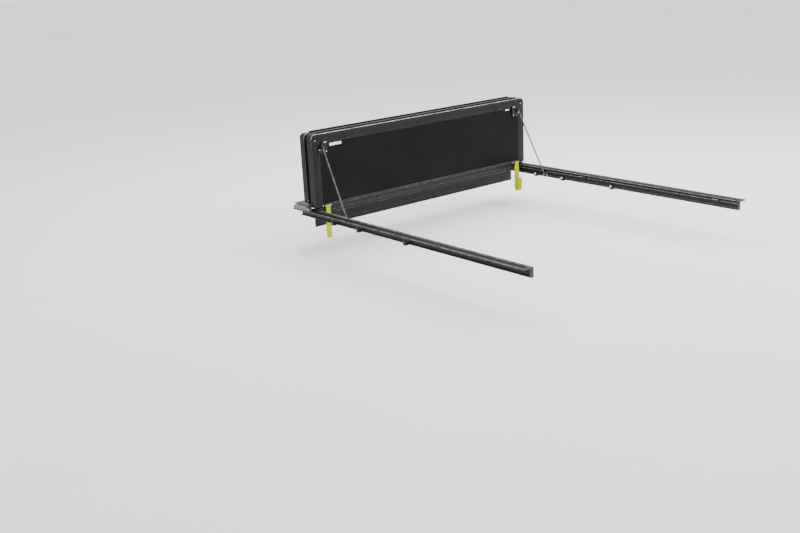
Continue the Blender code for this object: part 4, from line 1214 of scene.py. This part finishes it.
# ---- pull straps --------------------------------------------------------------------------------------
class TONNEAU_OT_pull_straps(bpy.types.Operator):
    """Hi-vis webbing straps folded to a hand loop, with their wire loops and stitching"""

    bl_idname = "tonneau.pull_straps"
    bl_label = "Pull straps"

    def execute(self, context):
        screws = Shape()
        for side, word in SIDES:
            loop = "strap_loop_" + word
            softened(loop, "strap_ring_" + word, "zinc", 0.9 * MM, 4)
            low, high = corners(loop)
            base = corners("front_panel_board")[0][1] - BOARD_RECESS
            for x in (low[0] - 6 * MM, high[0] + 6 * MM):
                pan_head((x, base, (low[2] + high[2]) / 2), (0, -1, 0), 3 * MM, screws)
            self.strap(side, word)
        screws.piece("strap_screws", "front_panel", "screw")
        return {"FINISHED"}

    def strap(self, side, word):
        """A flat rounded section carried down from the ring, round the hand loop and up to its sewn end.

        At each place the section lies across the line, its width along X.
        """
        centre = pivot("strap_swing_" + word)
        bottom = corners("pull_strap_" + word)[0][2]
        drop = centre[2] - bottom
        # (sideways, forwards, up) from the ring's bar, in mm; the last stretch crosses over to form the loop
        base = -drop / MM
        route = [(0, 1.5, -30), (0, 1.6, -18), (0, 3.0, -6), (0, 3.2, -1), (0, 2.5, 2.4), (0, 0, 3.7)]
        route += [(0, -2.5, 2.4), (0, -3.2, -1), (0, -2.6, -7), (0, -0.4, -18), (0, -0.1, -30), (0, 0.0, -60)]
        route += [(0, 0.8, -100), (0, 1.4, -135), (1, 0.8, base + 20), (4, -1.8, base + 11)]
        route += [(8, -5.6, base + 9), (12, -8.6, base + 14), (15, -9.4, base + 28)]
        route += [(16.5, -7.4, -132), (16, -4.4, -110), (15, -2.8, -98)]
        # the left strap folds back more nearly over itself, clear of its rod
        shift = MM if side > 0 else -0.55 * MM
        line = smooth_line(np.array(route) * (shift, MM, MM), 240)
        # the right strap hangs with a slow twist, up to its limit 70 mm below the ring
        twist = np.radians(38.0 if side > 0 else 6.0) * np.clip((-line[:, 2] - 8 * MM) / (62 * MM), 0, 1)
        across = np.stack([np.cos(twist), -np.sin(twist), 0 * twist], -1)
        forward = np.stack([np.sin(twist), np.cos(twist), 0 * twist], -1)
        line = across * line[:, :1] + forward * line[:, 1:2] + line * (0, 0, 1) + centre
        ahead = unit(np.gradient(line, axis=0))
        wide = unit(across - ahead * (across * ahead).sum(1, keepdims=True))
        thick = np.cross(ahead, wide)
        half, t = 14.5 * MM, sizes().webbing_thickness
        profile, _ = rounded(rectangle(-half, -t / 2, half, t / 2), 0.48 * t, 3)
        grid = line[:, None] + wide[:, None] * profile[None, :, :1] + thick[:, None] * profile[None, :, 1:]
        along = np.concatenate([[0], np.cumsum(np.linalg.norm(np.diff(line, axis=0), axis=1))])
        shape = Shape().add(grid, along=along[:, None], across=profile[None, :, 0] + half)
        shape.piece("webbing_strap_" + word, "strap_" + word, "webbing", ("pull_strap_" + word,), 60)
        self.stitches(centre, word, t)

    def stitches(self, centre, word, t):
        """Box stitching through both layers near the ring: each stitch is a short round-ended thread."""
        shape = Shape()
        front, z = centre[1] - 0.3 * MM - t * 0.5, centre[2] - 24 * MM
        w, h, step = 11 * MM, 6 * MM, 3.2 * MM
        sewn = 0.7 * step
        runs = []
        for x in np.arange(-w, w, step):
            runs += [((x, -h), (x + sewn, -h)), ((x, h), (x + sewn, h))]
        for u in np.arange(-h, h, step):
            runs += [((-w, u), (-w, u + sewn)), ((w, u), (w, u + sewn))]
        thread = ((0, 0.15 * MM), (0.2, 0.35 * MM), (0.8, 0.35 * MM), (1, 0.15 * MM))
        for ends in runs:
            start, end = ((centre[0] + across, front, z + up) for across, up in ends)
            turned(start, end, thread, 6, shape)
        shape.piece("strap_stitching_" + word, "strap_" + word, "webbing")


# ---- stage --------------------------------------------------------------------------------------------
class TONNEAU_OT_stage(bpy.types.Operator):
    """Pale floor, soft lights and the camera"""

    bl_idname = "tonneau.stage"
    bl_label = "Stage"

    def execute(self, context):
        scene = context.scene
        floor_mesh = bpy.data.meshes.new("floor")
        # the straps and rods swing lower than this while the cover closes
        reach, z = 40.0, CAD_BOX[0][2] - 75 * MM
        ends = rectangle(-reach, -reach, reach, reach)
        floor_mesh.from_pydata([(*place, z) for place in ends], [], [range(4)])
        floor = bpy.data.objects.new("floor", floor_mesh)
        scene.collection.objects.link(floor)
        floor_mesh.materials.append(clouded_coat("painted_floor"))
        self.lights(scene)
        self.camera(scene)
        return {"FINISHED"}

    def lights(self, scene):
        """A white surround and three large soft boxes: overhead, from the tailgate and from the right."""
        world = scene.world or bpy.data.worlds.new("studio")
        scene.world = world
        world.use_nodes = True
        surround = world.node_tree.nodes["Background"].inputs
        surround["Color"].default_value = (0.97, 0.98, 1.0, 1.0)
        surround["Strength"].default_value = 1.5
        boxes = (
            ("overhead_box", (0.6, 0.6, 3.6), (0.0, -0.5, 0.0), 3.0, 150.0),
            ("tailgate_box", (2.2, -4.8, 2.6), (0.3, -0.3, 0.1), 2.4, 90.0),
            ("right_box", (3.2, -2.2, 3.4), (0.2, -0.3, 0.2), 1.6, 110.0),
        )
        for name, place, target, size, power in boxes:
            light = bpy.data.lights.new(name, "AREA")
            light.size = size
            light.energy = power
            lamp = bpy.data.objects.new(name, light)
            lamp.location = place
            aim = Vector(target) - Vector(place)
            lamp.rotation_euler = aim.to_track_quat("-Z", "Y").to_euler()
            scene.collection.objects.link(lamp)

    def camera(self, scene):
        """The camera stands behind the left tailgate corner, above the rails, a little tilted."""
        data = bpy.data.cameras.new("camera")
        data.lens = 47.88
        data.sensor_width = 36.0
        data.clip_start, data.clip_end = 0.05, 200.0
        camera = bpy.data.objects.new("camera", data)
        yaw, pitch, roll = np.radians((38.986, 16.802, -2.832))
        ahead = np.array((np.sin(yaw) * np.cos(pitch), np.cos(yaw) * np.cos(pitch), -np.sin(pitch)))
        right = unit(np.cross(ahead, (0, 0, 1)))
        up = np.cross(right, ahead)
        rolled = right * np.cos(roll) + up * np.sin(roll), up * np.cos(roll) - right * np.sin(roll)
        turn = Matrix(np.stack([*rolled, -ahead], 1).tolist()).to_4x4()
        camera.matrix_world = Matrix.Translation((-3.983, -4.802, 1.364)) @ turn
        scene.collection.objects.link(camera)
        scene.camera = camera


class TONNEAU_PT_pieces(bpy.types.Panel):
    """Lists the operators, sizes and colours"""

    bl_label = "Tonneau cover"
    bl_space_type = "VIEW_3D"
    bl_region_type = "UI"
    bl_category = "Tonneau"

    def draw(self, context):
        for group in (context.scene.tonneau_sizes, context.scene.tonneau_colours):
            box = self.layout.box()
            for name in type(group).__annotations__:
                box.prop(group, name)
        for operator in OPERATORS:
            self.layout.operator(operator.bl_idname)


OPERATORS = (
    TONNEAU_OT_stage,
    TONNEAU_OT_panel_frames,
    TONNEAU_OT_highlight_trims,
    TONNEAU_OT_panel_boards,
    TONNEAU_OT_rails,
    TONNEAU_OT_header,
    TONNEAU_OT_edge_seal,
    TONNEAU_OT_hinge_pins,
    TONNEAU_OT_clamps,
    TONNEAU_OT_prop_rods,
    TONNEAU_OT_panel_trim,
    TONNEAU_OT_latches,
    TONNEAU_OT_pull_straps,
)
CLASSES = (TonneauSizes, TonneauColours, TONNEAU_PT_pieces, *OPERATORS)


def register():
    for made in CLASSES:
        bpy.utils.register_class(made)
    bpy.types.Scene.tonneau_sizes = PointerProperty(type=TonneauSizes)
    bpy.types.Scene.tonneau_colours = PointerProperty(type=TonneauColours)


def unregister():
    del bpy.types.Scene.tonneau_colours
    del bpy.types.Scene.tonneau_sizes
    for made in reversed(CLASSES):
        bpy.utils.unregister_class(made)


def main():
    """Makes every piece."""
    register()
    for operator in OPERATORS:
        group, name = operator.bl_idname.split(".")
        getattr(getattr(bpy.ops, group), name)()


if __name__ == "__main__":
    main()
